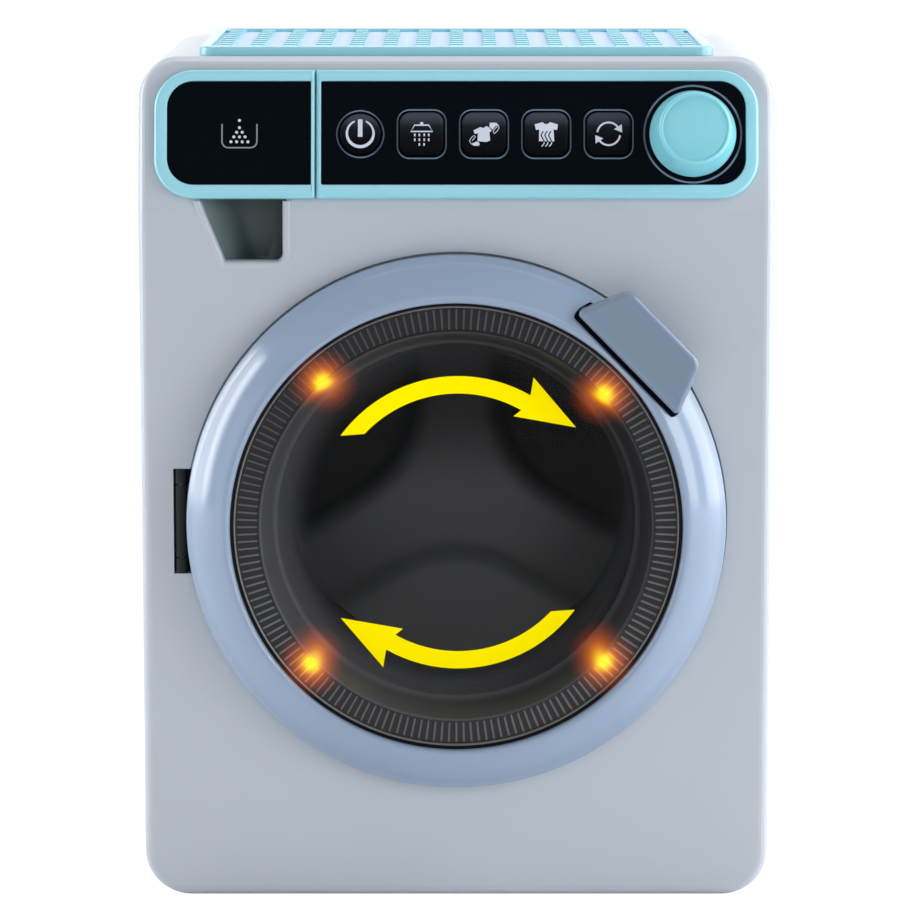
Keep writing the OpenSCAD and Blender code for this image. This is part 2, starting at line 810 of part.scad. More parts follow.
// Door. The ring's profile is given as radius and depth.
function bow(a, b, rise, n) = [for (i = [0 : n]) let (t = i / n, d = b - a, len = norm(d))
  a + d * t + [-d[1], d[0]] / len * 4 * rise * t * (1 - t)];
function arc(c, r, a0, a1, n) = [for (i = [0 : n]) let (a = a0 + (a1 - a0) * i / n)
  c + r * [cos(a), sin(a)]];

module ring_profile() {
  polygon(concat(
    [[door_r, door_back_y]],
    arc([door_r - 1.6, -rim_h + 0.2], 1.6, 0, -48, 5),
    bow(crown_out, crown_in, crown_rise, 12),
    arc([glass_r + 1.4, -door_proud + 1.4], 1.4, -90, -180, 5),
    [[glass_r, flange_y], [flange_r + 0.3, flange_y], [flange_r + 0.3, flange_y + 0.4],
     [door_r - door_wall, -rim_h + 1.4], [door_r - door_wall, door_back_y]]));
}

module handle_outline(grow = 0, inner = 0) {
  r0 = handle_r_in;
  r1 = handle_r_out;
  hull() for (side = [-1, 1]) {
    for (shift = [0, inner])
      translate([handle_in + r0 - shift, side * (handle_len_in / 2 - r0)]) circle(r0 + grow, $fn = 32);
    translate([handle_out - r1, side * (handle_len_out / 2 - r1)]) circle(r1 + grow, $fn = 32);
  }
}

module handle_seat_zone(grow) {
  at_handle() translate([handle_in - handle_gap - grow, -far / 2, -handle_len_in / 2 - grow])
    cube([far, far, handle_len_in + 2 * grow]);
}

module tongue_way(y0, y1) {
  at_handle() translate([tongue_x - tongue_t / 2 - tongue_room, y0, -tongue_w / 2 - tongue_room])
    cube([tongue_t + 2 * tongue_room + (door_back_y + 1 - handle_pin_y) * sin(handle_turn), y1 - y0,
      tongue_w + 2 * tongue_room]);
}

module handle_posts(grow = 0, y1 = 0) {
  for (side = [0, 1]) mirror([0, 0, side]) translate([0, 0, handle_post_z - grow]) {
    translate([handle_pin_x, handle_pin_y, 0])
      cylinder(d = handle_lug - 1 + 2 * grow, h = handle_post_t + 2 * grow);
    translate([handle_pin_x - handle_lug / 2 + 0.5 - grow, handle_pin_y, 0])
      cube([handle_lug - 1 + 2 * grow, y1 - handle_pin_y, handle_post_t + 2 * grow]);
  }
}

module door_ring() {
  color(ring_blue) place() {
    door_ring_body();
    at_handle() difference() {
      handle_posts(0, pocket_deep + 1);
      translate([handle_pin_x, handle_pin_y, -far / 2]) cylinder(d = handle_pin_d + 2 * press, h = far);
    }
  }
}

module door_ring_body() {
  difference() {
    union() {
      turned_y() ring_profile();
      // Solid part of the ring under the handle
      intersection() {
        turned_y() polygon(concat([[door_r - 0.4, -1], [door_r - 0.4, -rim_h]],
          bow(crown_out + [-0.4, 0.4], crown_in + [0.6, 0.4], crown_rise, 6),
          [[flange_r + 0.3, flange_y + 0.2], [flange_r + 0.3, -1]]));
        handle_seat_zone(2.2);
      }
      // Bosses for the screws
      intersection() {
        ring_of(door_screw_angles, screw_ring_r) rod_y(5, -door_proud, -1);
        turned_y() polygon([[flange_r + 0.3, -1], [flange_r + 0.3, flange_y + 0.2], crown_in + [1, 1.4],
          crown_out + [-1, 0.6], [door_r - 1, -1]]);
      }
      intersection() {
        for (side = [-1, 1]) rod_y(5, -door_proud, -1, arm_screw_x, door_z + side * arm_screw_z);
        turned_y() polygon([[flange_r + 0.3, -1], [flange_r + 0.3, flange_y + 0.2], crown_in + [1, 1.4],
          crown_out + [-1, 0.6], [door_r - 1, -1]]);
      }
    }
    // Pocket for the handle, shallow above the window and deep round the pin
    at_handle() slab(-far / 2, pocket_deep) difference() {
      handle_outline(pocket_side, handle_gap - pocket_side);
      translate([0, -far / 2]) square([flange_r + 1, far]);
    }
    at_handle() slab(-far / 2, flange_y - 0.9) handle_outline(pocket_side, handle_gap - pocket_side);
    // Way for the latch tongue
    tongue_way(pocket_deep - 1, door_back_y + 1);
    // Screw holes
    ring_of(door_screw_angles, screw_ring_r) rod_y(pilot_d, -6.6, 0);
    for (side = [-1, 1]) rod_y(pilot_d, -6.6, 0, arm_screw_x, door_z + side * arm_screw_z);
  }
}

module door_back() {
  outer = door_r - door_wall - seat_fit;
  color(ring_blue) place() difference() {
    turned_y() polygon([[collar_r, door_back_y], [outer, door_back_y], [outer, -1 + seat_fit / 2],
      [collar_r + 2.4, -1 + seat_fit / 2], [collar_r + 2.4, flange_y + flange_t + seat_fit],
      [collar_r, flange_y + flange_t + seat_fit]]);
    ring_of(door_screw_angles, screw_ring_r) rod_y(screw_d + 0.4, -2, 2);
    ring_of(door_screw_angles, screw_ring_r) rod_y(head_d + 0.6, door_back_y - 1.5, 3);
    for (side = [-1, 1]) rod_y(screw_d + 0.4, -2, 2, arm_screw_x, door_z + side * arm_screw_z);
    tongue_way(-4, door_back_y + 1);
  }
}

module door_screws() {
  color(steel) place() ring_of(door_screw_angles, screw_ring_r)
    screw_y(door_back_y - 0.05, 6, true);
}

module door_window() {
  b = bowl_wall;
  r0 = bowl_d / 2;
  r1 = rib_d / 2;
  color(smoke) place() turned_y() polygon(concat(
    [[flange_r, flange_y], [glass_r - 2.8, flange_y], [glass_r - 3.1, rib_y], [r1, rib_y]],
    [[r0, bowl_back_y - b]],
    bow([r0 - 1, bowl_back_y - b + 0.3], [0, bowl_back_y - b + 1.6], 0.4, 8),
    bow([0, bowl_back_y + 1.6], [r0 - 1, bowl_back_y + 0.3], -0.4, 8),
    [[r0 + b * 0.9, bowl_back_y - 0.6], [r1 + b * 0.9, rib_y + b], [flange_r, flange_y + flange_t]]));
}

module door_handle() {
  color(ring_blue) place() at_handle() difference() {
    union() {
      difference() {
        slab(handle_front, handle_back) handle_outline();
        // Cut back above the window's border
        translate([0, handle_under, -far / 2]) cube([flange_r + 2.2, far, far]);
      }
      translate([handle_pin_x, handle_pin_y, -handle_pin_len / 2])
        cylinder(d = handle_lug, h = handle_pin_len);
      // Latch tongue
      translate([tongue_x - tongue_t / 2, handle_pin_y, -tongue_w / 2])
        cube([tongue_t, tongue_end - handle_pin_y, tongue_w]);
    }
    handle_posts(slide_fit, 0);
    translate([handle_pin_x, handle_pin_y, -far / 2]) cylinder(d = handle_pin_d + 2 * run_fit, h = far);
  }
}

module handle_pin() {
  color(steel) place() at_handle() translate([handle_pin_x, handle_pin_y, -handle_pin_len / 2])
    cylinder(d = handle_pin_d, h = handle_pin_len);
}

module latch_catch() {
  color(dark_grey) place() at_handle() difference() {
    translate([catch_x0 - catch_rim, seat_floor, -tongue_w / 2 - 3])
      cube([catch_w + 2 * catch_rim, catch_t, tongue_w + 6]);
    translate([catch_x0, seat_floor - 1, -tongue_w / 2 - 1]) cube([catch_w, catch_t + 2, tongue_w + 2]);
  }
}

// Hinge
module hinge_arm() {
  color(dark_grey) place() translate([0, 0, door_z]) difference() {
    union() {
      translate([hinge_x, hinge_y, -knuckle_len / 2]) cylinder(d = knuckle_d, h = knuckle_len);
      translate([hinge_x, door_back_y, -knuckle_len / 2])
        cube([arm_end - hinge_x, arm_t, knuckle_len]);
    }
    translate([hinge_x, hinge_y, -far / 2]) cylinder(d = hinge_pin_d + 2 * run_fit, h = far);
    for (side = [-1, 1]) {
      rod_y(screw_d + 0.4, 0, 8, arm_screw_x, side * arm_screw_z);
      rod_y(head_d + 0.4, door_back_y + arm_t - 1.3, 8, arm_screw_x, side * arm_screw_z);
    }
  }
}

module arm_screws() {
  color(steel) place() for (side = [-1, 1]) translate([arm_screw_x, 0, door_z + side * arm_screw_z])
    screw_y(door_back_y + arm_t + 0.1, 8, true);
}

module hinge_bracket() {
  color(dark_grey) place() translate([0, 0, door_z]) difference() {
    union() {
      translate([bracket_x0, seat_floor, -bracket_h / 2])
        cube([bracket_x1 - bracket_x0, 2, bracket_h]);
      for (side = [0, 1]) mirror([0, 0, side]) {
        translate([hinge_x, hinge_y, lug_z]) cylinder(d = knuckle_d, h = lug_len);
        translate([hinge_x - knuckle_d / 2, hinge_y, lug_z])
          cube([knuckle_d, seat_floor - hinge_y + eps, lug_len]);
      }
    }
    translate([hinge_x, hinge_y, -far / 2]) cylinder(d = hinge_pin_d + 2 * press, h = far);
    for (side = [-1, 1]) rod_y(screw_d + 0.4, 0, 20, hinge_x, side * bracket_screw_z);
  }
}

module bracket_screws() {
  color(steel) place() for (side = [-1, 1])
    translate([hinge_x, 0, door_z + side * bracket_screw_z]) screw_y(seat_floor + 2 + 1.4, 6.4, true);
}

module hinge_pin() {
  len = 2 * (lug_z + lug_len);
  color(steel) place() translate([hinge_x, hinge_y, door_z - len / 2]) cylinder(d = hinge_pin_d, h = len);
}

// Tub, lamps and drum
module tub() {
  r_out = tub_r + drum_wall;
  boss_y = tub_back_y + tub_back_t;
  color(dark_grey) place() difference() {
    union() {
      turned_y() polygon([[tub_r, tub_y0 + tub_lip], [r_out, tub_y0 + tub_lip], [r_out, boss_y], [0, boss_y],
        [0, tub_back_y], [tub_r, tub_back_y]]);
      // Flange with its ears
      slab(tub_y0, tub_y0 + tub_flange_t) translate([0, door_z]) difference() {
        union() {
          circle(r = tub_flange_r);
          for (a = ear_angles) rotate(a) {
            translate([tub_flange_r - ear_root, -ear_neck_w / 2])
              square([ear_r - tub_flange_r + ear_root, ear_neck_w]);
            translate([ear_r, 0]) circle(r = ear_size);
          }
        }
        circle(r = tub_r + drum_wall / 2);
      }
      rod_y(2 * bush_r + 5, tub_back_y - 0.8, tub_back_y + bush_len, 0, door_z);
      rod_y(idler_pin_d + 5, boss_y - 0.5, drum_gear_y - 0.8, 0, idler_z);
      for (c = cover_corners()) rod_y(6.4, boss_y - 1, cover_y - 10, c[0], c[1]);
    }
    ring_of(lamp_angles, lamp_r) rod_y(lamp_d + 0.2, tub_y0 - 1, tub_y0 + 4);
    ring_of(ear_angles, ear_r) rod_y(screw_d + 0.4, tub_y0 - 1, tub_y0 + 4);
    rod_y(2 * (bush_r + press), tub_back_y - 2, tub_back_y + bush_len + 1, 0, door_z);
    rod_y(idler_pin_d + 2 * press, boss_y - 1.4, boss_y + 10, 0, idler_z);
    for (c = cover_corners()) rod_y(pilot_d, boss_y + 1, cover_y, c[0], c[1]);
  }
}

function cover_corners() = [
  for (x = [cover_x0 + cover_screw_in, cover_x1 - cover_screw_in],
    z = [cover_z0 + cover_screw_in, cover_z1 - cover_screw_in]) [x, z]];

module tub_screws() {
  color(steel) place() ring_of(ear_angles, ear_r) screw_y(tub_y0 + tub_flange_t + 1.4, 6.4, true);
}

module lamps() {
  color(amber) place() ring_of(lamp_angles, lamp_r) rotate([-90, 0, 0]) rotate_extrude()
    polygon(concat(arc([0, tub_y0 - 1.6], lamp_d / 2, -90, 0, 5),
      [[lamp_d / 2, tub_y0 + tub_flange_t], [lamp_d / 2 + 0.5, tub_y0 + tub_flange_t],
       [lamp_d / 2 + 0.5, tub_y0 + tub_flange_t + 1], [0, tub_y0 + tub_flange_t + 1]]));
}

module drum() {
  r = drum_d / 2;
  color(dark_grey) place() difference() {
    turned_y() polygon([[r - 3.2, drum_y0], [r, drum_y0], [r, drum_y1], [hub_r, drum_y1],
      [hub_r, drum_y1 + hub_len], [0, drum_y1 + hub_len], [0, drum_y1 - drum_wall],
      [r - drum_wall, drum_y1 - drum_wall], [r - drum_wall, drum_y0 + drum_wall],
      [r - 3.2, drum_y0 + drum_wall]]);
    rod_y(shaft_d + 2 * press, drum_y1 - 1, drum_y1 + 20, 0, door_z);
  }
}

module drum_star() {
  // Centre of each hollow's rounding, and where it meets the arms
  hollow_x = (arm_w / 2 + star_fillet) / sin(60);
  touch_x = hollow_x - star_fillet * sin(60);
  touch_y = star_fillet * cos(60);
  r = drum_d / 2 - drum_wall - seat_fit;
  back = drum_y1 - drum_wall;
  color(dark_grey) place() {
    slab(back - star_h, back) translate([0, door_z]) intersection() {
      circle(r = r);
      union() {
        for (a = [90, 210, 330]) rotate(a) translate([0, -arm_w / 2]) square([drum_d, arm_w]);
        for (a = [30, 150, 270]) rotate(a) difference() {
          polygon([[0, 0], [touch_x, -touch_y], [touch_x, touch_y]]);
          translate([hollow_x, 0]) circle(r = star_fillet);
        }
      }
    }
  }
}

module drum_shaft() {
  color(steel) place() rod_y(shaft_d, drum_y1 - 1, cover_y + cover_t, 0, door_z);
}

module shaft_bush() {
  color(brass) place() difference() {
    rod_y(2 * bush_r, tub_back_y - 0.8, tub_back_y + bush_len, 0, door_z);
    rod_y(shaft_d + 2 * run_fit, tub_back_y - 2, tub_back_y + bush_len + 1, 0, door_z);
  }
}

// Involute gears. The first tooth points along +X of the gear's own frame.
function inv(a) = tan(a) * 180 / PI - a;
function half_tooth(n, r) = let (rp = n * gear_m / 2, rb = rp * cos(pressure), c = min(1, rb / max(r, rb)))
  90 / n - backlash / 4 / rp * 180 / PI + inv(pressure) - inv(acos(c));
function tooth(n, k) = let (rp = n * gear_m / 2, rb = rp * cos(pressure), root = rp - 1.2 * gear_m,
  tip = rp + 0.9 * gear_m, low = max(rb, root), rs = concat(root < rb ? [root] : [],
  [for (i = [0 : 4]) low + (tip - low) * i / 4])) concat(
  [for (i = [0 : len(rs) - 1]) let (a = k * 360 / n - half_tooth(n, rs[i])) rs[i] * [cos(a), sin(a)]],
  [for (i = [len(rs) - 1 : -1 : 0]) let (a = k * 360 / n + half_tooth(n, rs[i])) rs[i] * [cos(a), sin(a)]]);

module gear(n, w, turn) {
  rotate(turn) linear_extrude(w) polygon([for (k = [0 : n - 1]) each tooth(n, k)]);
}

module gear_y(n, y0, w, x, z, turn) {
  translate([x, y0 + w, z]) rotate([90, 0, 0]) gear(n, w, turn);
}

module drum_gear() {
  color(ivory) place() difference() {
    union() {
      gear_y(drum_teeth, drum_gear_y, gear_w, 0, door_z, 90);
      rod_y(shaft_d + 6, drum_gear_y - 1, drum_gear_y + gear_w + 1, 0, door_z);
    }
    rod_y(shaft_d + 2 * press, drum_gear_y - 2, drum_gear_y + gear_w + 2, 0, door_z);
    for (a = [0 : 72 : 359]) translate([0, 0, door_z]) rotate([0, a, 0])
      rod_y(drum_rp * 0.36, drum_gear_y - 2, drum_gear_y + gear_w + 2, drum_rp * 0.6, 0);
  }
}

module idler_gear() {
  mesh_turn = 270 + 180 / pinion_teeth;
  color(ivory) place() difference() {
    union() {
      gear_y(pinion_teeth, drum_gear_y - 0.4, gear_w + 1.8, 0, idler_z, mesh_turn);
      gear_y(idler_teeth, idler_big_y, gear_w - 1, 0, idler_z, 0);
      rod_y(idler_pin_d + 4, idler_big_y, cover_y - 0.4, 0, idler_z);
    }
    rod_y(idler_pin_d + 2 * run_fit, drum_gear_y - 2, cover_y, 0, idler_z);
  }
}

module idler_pin() {
  color(steel) place() rod_y(idler_pin_d, tub_back_y + tub_back_t - 1.4, cover_y + cover_t, 0, idler_z);
}

module gear_cover() {
  skirt = cover_y - 10;
  color(dark_grey) place() difference() {
    union() {
      slab(cover_y, cover_y + cover_t) round_rect(cover_x0, cover_x1, cover_z0, cover_z1, equal(6));
      for (c = cover_corners()) rod_y(7, skirt, cover_y + eps, c[0], c[1]);
      slab(skirt, cover_y + eps) difference() {
        round_rect(cover_x0, cover_x1, cover_z0, cover_z1, equal(6));
        round_rect(cover_x0 + 1.6, cover_x1 - 1.6, cover_z0 + 1.6, cover_z1 - 1.6, equal(4.4));
      }
    }
    rod_y(shaft_d + 2 * run_fit, cover_y - 1, cover_y + 5, 0, door_z);
    rod_y(idler_pin_d + 2 * press, cover_y - 1, cover_y + 5, 0, idler_z);
    rod_y(6.4, cover_y - 1, cover_y + 5, motor_x, motor_z);
    for (c = cover_corners()) rod_y(screw_d + 0.4, skirt - 1, cover_y + 5, c[0], c[1]);
  }
}

module cover_screws() {
  color(steel) place() for (c = cover_corners()) translate([c[0], 0, c[1]])
    screw_y(cover_y + cover_t + 1.4, 18, true);
}

module motor() {
  y0 = cover_y + cover_t;
  color(steel) place() difference() {
    union() {
      intersection() {
        rod_y(motor_d, y0, y0 + motor_len, motor_x, motor_z);
        translate([motor_x - motor_d, y0 - 1, motor_z - motor_d * 0.38])
          cube([2 * motor_d, motor_len + 2, motor_d * 0.76]);
      }
      rod_y(6, y0 - 1.2, y0 + eps, motor_x, motor_z);
    }
    rod_y(2 + 2 * run_fit, y0 - 2, y0 + 9, motor_x, motor_z);
  }
}

module motor_pinion() {
  y0 = idler_big_y - 0.5;
  mesh_turn = 180 + 180 / pinion_teeth;
  color(brass) place() {
    gear_y(pinion_teeth, y0, gear_w, motor_x, motor_z, mesh_turn);
    rod_y(2, y0 + eps, cover_y + cover_t + 8.6, motor_x, motor_z);
  }
}

// Rear cover, batteries and speaker
module rear_cover() {
  fit = 0.3;
  color(shell_grey) place() difference() {
    union() {
      slab(rear_y0, rear_y1) cabinet_outline(wall + fit);
      // Battery compartment
      translate([-box_w / 2 - box_wall, box_y0 - box_wall, box_z - box_wall])
        cube([box_w + 2 * box_wall, rear_y0 - box_y0 + box_wall + eps, box_h + 2 * box_wall]);
      rod_y(lid_screw_boss, rear_y0 - 6, rear_y0 + eps, 0, lid_screw_z);
      // Ring that holds the speaker
      difference() {
        rod_y(speaker_d + 2 * seat_fit + 3, rear_y0 - speaker_t, rear_y0 + eps, speaker_x, speaker_z);
        rod_y(speaker_d + 2 * seat_fit, rear_y0 - speaker_t - 1, rear_y0, speaker_x, speaker_z);
      }
    }
    translate([-box_w / 2, box_y0, box_z]) cube([box_w, body_d, box_h]);
    slab(rear_y1 - battery_lid_t, body_d) battery_lid_outline(seat_fit);
    rod_y(pilot_d, rear_y0 - 5, body_d, 0, lid_screw_z);
    for (side = [-1, 1], z = post_z) {
      rod_y(screw_d + 0.4, rear_y0 - 1, body_d, side * post_x, z);
      rod_y(head_d + 0.6, rear_y1 - 1.4, body_d, side * post_x, z);
    }
    for (i = [-2 : 2], j = [-2 : 2]) if (i * i + j * j < 6)
      rod_y(2.2, rear_y0 - 1, body_d, speaker_x + i * 4, speaker_z + j * 4);
  }
}

module battery_lid_outline(grow = 0) {
  x = box_w / 2 + lid_lip + grow;
  round_rect(-x, x, box_z - lid_lip - grow, box_z + box_h + lid_lip + grow, equal(2));
  round_rect(-7 - grow, 7 + grow, box_z + box_h, lid_screw_z + 5 + grow, [0, 0, 3, 3]);
}

module battery_door() {
  color(shell_grey) place() difference() {
    union() {
      slab(rear_y1 - battery_lid_t, rear_y1) battery_lid_outline();
      for (i = [-4 : 4]) translate([i * 5 - 0.6, rear_y1 - eps, box_z + 4]) cube([1.2, 0.5, 8]);
    }
    rod_y(screw_d + 0.4, rear_y0 - 3, body_d, 0, lid_screw_z);
    rod_y(head_d + 0.4, rear_y1 - 1.2, body_d, 0, lid_screw_z);
  }
}

module battery_screw() {
  color(steel) place() translate([0, 0, lid_screw_z]) screw_y(rear_y1 + 0.2, 5.6, true);
}

module rear_screws() {
  color(steel) place() for (side = [-1, 1], z = post_z) translate([side * post_x, 0, z])
    screw_y(rear_y1, 9, true);
}

module battery_cells() {
  color([0.16, 0.42, 0.30]) place() for (i = [0 : cells - 1]) {
    z = box_z + 0.5 + cell_pitch * (i + 0.5);
    flip = i % 2 == 0 ? 1 : -1;
    translate([-cell_len / 2 * flip, cell_y, z]) rotate([0, 90 * flip, 0]) {
      cylinder(d = cell_d, h = cell_len - 1.2);
      cylinder(d = 5.4, h = cell_len);
    }
  }
}

module battery_contacts() {
  color(steel) place() for (i = [0 : cells - 1]) {
    z = box_z + 0.5 + cell_pitch * (i + 0.5);
    flip = i % 2 == 0 ? 1 : -1;
    for (side = [-1, 1]) translate([side * (box_w - contact_t) / 2, cell_y, z])
      cube([contact_t, cell_d - 3, cell_pitch - 3], center = true);
    // Pressed dimples that reach the cell's ends
    for (end = [-1, 1]) translate([end * (box_w / 2 - contact_t + eps), cell_y, z]) rotate([0, -90 * end, 0])
      cylinder(d1 = end == flip ? 6 : 8, d2 = end == flip ? 4 : 5, h = dimple_h + eps);
  }
}

module speaker() {
  y1 = rear_y0 - 0.1;
  color(dark_grey) place() translate([speaker_x, 0, speaker_z]) {
    difference() {
      rod_y(speaker_d, y1 - 3, y1);
      translate([0, y1 + eps, 0]) rotate([90, 0, 0])
        cylinder(d1 = speaker_d - 6, d2 = 12, h = 2.4);
    }
    rod_y(speaker_d * 0.5, y1 - 8, y1 - 3 + eps);
  }
}

// Flat leads. Each runs along a path drawn in one plane and ends in a plug on the board.
module lead_path(points) {
  for (i = [0 : len(points) - 2]) {
    d = points[i + 1] - points[i];
    translate(points[i]) rotate(atan2(d[1], d[0])) translate([0, -lead_t / 2]) square([norm(d), lead_t]);
    if (i > 0) translate(points[i]) circle(d = lead_t, $fn = 24);
  }
}

module lead_plug(x, s0, t0, t1) {
  panel_slab(t0, t1) translate([x - lead_w / 2 - 0.5, s0]) square([lead_w + 1, plug_s]);
}

module upright_lead(x, start) {
  board_back = board_t0 - board_th;
  plug_y = -(board_back - plug_t / 2) * cos(lean) + (plug_s0 + plug_s / 2) * sin(lean);
  plug_z = lean_z + (board_back - plug_t / 2) * sin(lean) + (plug_s0 + plug_s / 2) * cos(lean);
  translate([x - lead_w / 2, 0, 0]) rotate([90, 0, 90]) linear_extrude(lead_w)
    lead_path(concat(start, [[start[len(start) - 1][0], lead_z], [lead_bend_y, lead_z + 8], [plug_y, plug_z]]));
  lead_plug(x, plug_s0, board_back - plug_t, board_back);
}

module leads() {
  lead_y = rear_y0 - 12;
  motor_end = cover_y + cover_t + motor_len;
  lamp = lamp_r * cos(45);
  lamp_back = tub_y0 + tub_flange_t + 1;
  board_low = panel_mid - board_down;
  color([0.55, 0.10, 0.10]) place() {
    upright_lead(motor_x, [[motor_end, motor_z], [motor_end + 1.8, motor_z]]);
    upright_lead(-12, [[lead_y, box_z + box_h + box_wall]]);
    upright_lead(speaker_x, [[rear_y0 - 8.1, speaker_z], [lead_y, speaker_z]]);
    for (side = [0, 1]) mirror([side, 0, 0]) {
      slab(lamp_back, lamp_back + lead_t) {
        lead_path([[lamp, door_z - lamp], [76, door_z - 16], [76, door_z + 30], [lamp_lead_x, lean_z - 8],
          [lamp_lead_x, lean_z + 5]]);
        lead_path([[lamp, door_z + lamp], [lamp + 6, lean_z - 22], [lamp_lead_x, lean_z - 8]]);
      }
      lead_plug(lamp_lead_x, board_low - plug_s, board_t0 - board_th, board_t0 + plug_t);
    }
  }
}

cabinet();
rear_cover();
rear_screws();
top_grille();
control_bezel();
control_window();
power_key();
key_1();
key_2();
key_3();
key_4();
control_board();
board_screws();
tact_switches();
knob();
encoder_body();
encoder_shaft();
drawer_front();
drawer_window();
drawer_tray();
drawer_guide();
guide_screws();
door_ring();
door_back();
door_screws();
door_window();
door_handle();
handle_pin();
latch_catch();
hinge_arm();
arm_screws();
hinge_bracket();
bracket_screws();
hinge_pin();
tub();
tub_screws();
lamps();
drum();
drum_star();
drum_shaft();
shaft_bush();
drum_gear();
idler_gear();
idler_pin();
gear_cover();
cover_screws();
motor();
motor_pinion();
battery_cells();
battery_contacts();
battery_door();
battery_screw();
speaker();
leads();
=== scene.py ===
import math

import bmesh
import bpy
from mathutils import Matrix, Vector


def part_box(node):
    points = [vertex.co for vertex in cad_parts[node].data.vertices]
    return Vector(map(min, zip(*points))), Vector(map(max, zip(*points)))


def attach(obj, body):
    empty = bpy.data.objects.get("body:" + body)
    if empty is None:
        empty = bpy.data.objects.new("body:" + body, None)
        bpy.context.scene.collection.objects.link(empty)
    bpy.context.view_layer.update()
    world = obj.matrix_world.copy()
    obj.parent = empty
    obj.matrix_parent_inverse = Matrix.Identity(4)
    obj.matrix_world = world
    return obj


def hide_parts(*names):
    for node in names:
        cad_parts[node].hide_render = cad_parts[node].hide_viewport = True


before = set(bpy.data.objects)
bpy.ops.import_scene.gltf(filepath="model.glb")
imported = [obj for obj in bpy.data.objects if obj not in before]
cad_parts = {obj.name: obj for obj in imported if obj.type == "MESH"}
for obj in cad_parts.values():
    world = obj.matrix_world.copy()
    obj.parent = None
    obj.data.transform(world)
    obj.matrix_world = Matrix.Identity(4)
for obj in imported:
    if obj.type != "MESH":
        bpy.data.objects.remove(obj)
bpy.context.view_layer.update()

# Frame of the object

# Lengths are in millimetres, with y counted from the cabinet's front face, as in the part's source.
# Three frames are used: x, y, z of the object; x, s, t on the leaning panel (s up the face, t out of
# it); and u, v, y at the handle (u outwards along its radius, v across it).
MM = 0.001
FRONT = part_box("cabinet")[0].y
BODY_H = 255.0                              # cabinet without the top grille
LEAN, LEAN_Z = math.radians(12.0), 210.0    # the face leans back above this height
DOOR_Z = 116.0                              # centre of the door, the window and the drum
DISH_Y = 1.4                                # floor of the window's dish
PANEL_MID = 22.5                            # height of the keys' centres on the leaning face
PANEL_T, BEZEL_T = 2.4, 3.2                 # thickness of the black panel and of its bezel
KEY_XS = (-10.3, 8.25, 26.8, 45.35)
POWER_X, POWER_R = -28.6, 6.1
KNOB_X = 70.4
LAMP_ANGLES, LAMP_R = (42.8, 132.8, 222.8, 317.2), 58.8
HANDLE_TURN = math.radians(44.4)            # direction of the handle above the x axis


def at(x, y, z):
    return Vector((x * MM, FRONT + y * MM, z * MM))


def deeper(y):
    """A shift away from the viewer."""
    return Vector((0, y * MM, 0))


def on_panel(x, s, t):
    c, q = math.cos(LEAN), math.sin(LEAN)
    return at(x, s * q - t * c, LEAN_Z + s * c + t * q)


def on_door(r, degrees, y):
    a = math.radians(degrees)
    return at(r * math.cos(a), y, DOOR_Z + r * math.sin(a))


def on_handle(u, v, y):
    c, q = math.cos(HANDLE_TURN), math.sin(HANDLE_TURN)
    return at(u * c - v * q, y, DOOR_Z + u * q + v * c)


# Materials
def node(tree, kind, **values):
    n = tree.nodes.new(kind)
    for key, value in values.items():
        setattr(n, key, value)
    return n


def noise(tree, coords, scale, detail=3.0, rough=0.55):
    n = node(tree, "ShaderNodeTexNoise")
    n.inputs["Scale"].default_value = scale
    n.inputs["Detail"].default_value = detail
    n.inputs["Roughness"].default_value = rough
    tree.links.new(coords, n.inputs["Vector"])
    return n.outputs["Fac"]


def ramp(tree, fac, stops):
    n = node(tree, "ShaderNodeValToRGB")
    while len(n.color_ramp.elements) < len(stops):
        n.color_ramp.elements.new(0.5)
    for element, (pos, color) in zip(n.color_ramp.elements, stops):
        element.position = pos
        element.color = (*color, 1.0)
    tree.links.new(fac, n.inputs["Fac"])
    return n.outputs["Color"]


def map_range(tree, fac, low, high):
    n = node(tree, "ShaderNodeMapRange")
    n.inputs["To Min"].default_value = low
    n.inputs["To Max"].default_value = high
    tree.links.new(fac, n.inputs["Value"])
    return n.outputs["Result"]


def bump(tree, shader, height, strength, distance):
    n = node(tree, "ShaderNodeBump")
    n.inputs["Strength"].default_value = strength
    n.inputs["Distance"].default_value = distance
    tree.links.new(height, n.inputs["Height"])
    tree.links.new(n.outputs["Normal"], shader.inputs["Normal"])


DRIFT_SCALE, GLOSS_SCALE = 14.0, 60.0       # noise scales of the colour and of the gloss
GRAIN_DEPTH = 0.0002                        # metres
RIM_LIGHT_SIDE = (-0.75, -0.66)                       # direction in which the painted light on the window is strongest: the lower left
RIM_LIGHT_FROM, RIM_LIGHT_TO = 0.043, 0.0535          # radii in metres between which the painted light sets in
RIM_LIGHT_LEAST = 0.10                           # share of it on the side away from the light


def material(name, color, rough, spread, grain, grain_strength, **sockets):
    """Moulded plastic or metal: its colour drifts, its gloss varies and its skin has a fine texture."""
    m = bpy.data.materials.new(name)
    m.use_nodes = True
    t = m.node_tree
    shader = t.nodes["Principled BSDF"]
    coords = node(t, "ShaderNodeTexCoord").outputs["Object"]
    low = tuple(c * (1 - spread) for c in color)
    high = tuple(min(1.0, c * (1 + spread)) for c in color)
    drift = ramp(t, noise(t, coords, DRIFT_SCALE), [(0.3, low), (0.7, high)])
    gloss = map_range(t, noise(t, coords, GLOSS_SCALE), rough * 0.85, rough * 1.15)
    t.links.new(drift, shader.inputs["Base Color"])
    t.links.new(gloss, shader.inputs["Roughness"])
    bump(t, shader, noise(t, coords, grain, 2.0), grain_strength, GRAIN_DEPTH)
    for key, value in sockets.items():
        shader.inputs[key.replace("_", " ")].default_value = value
    return m


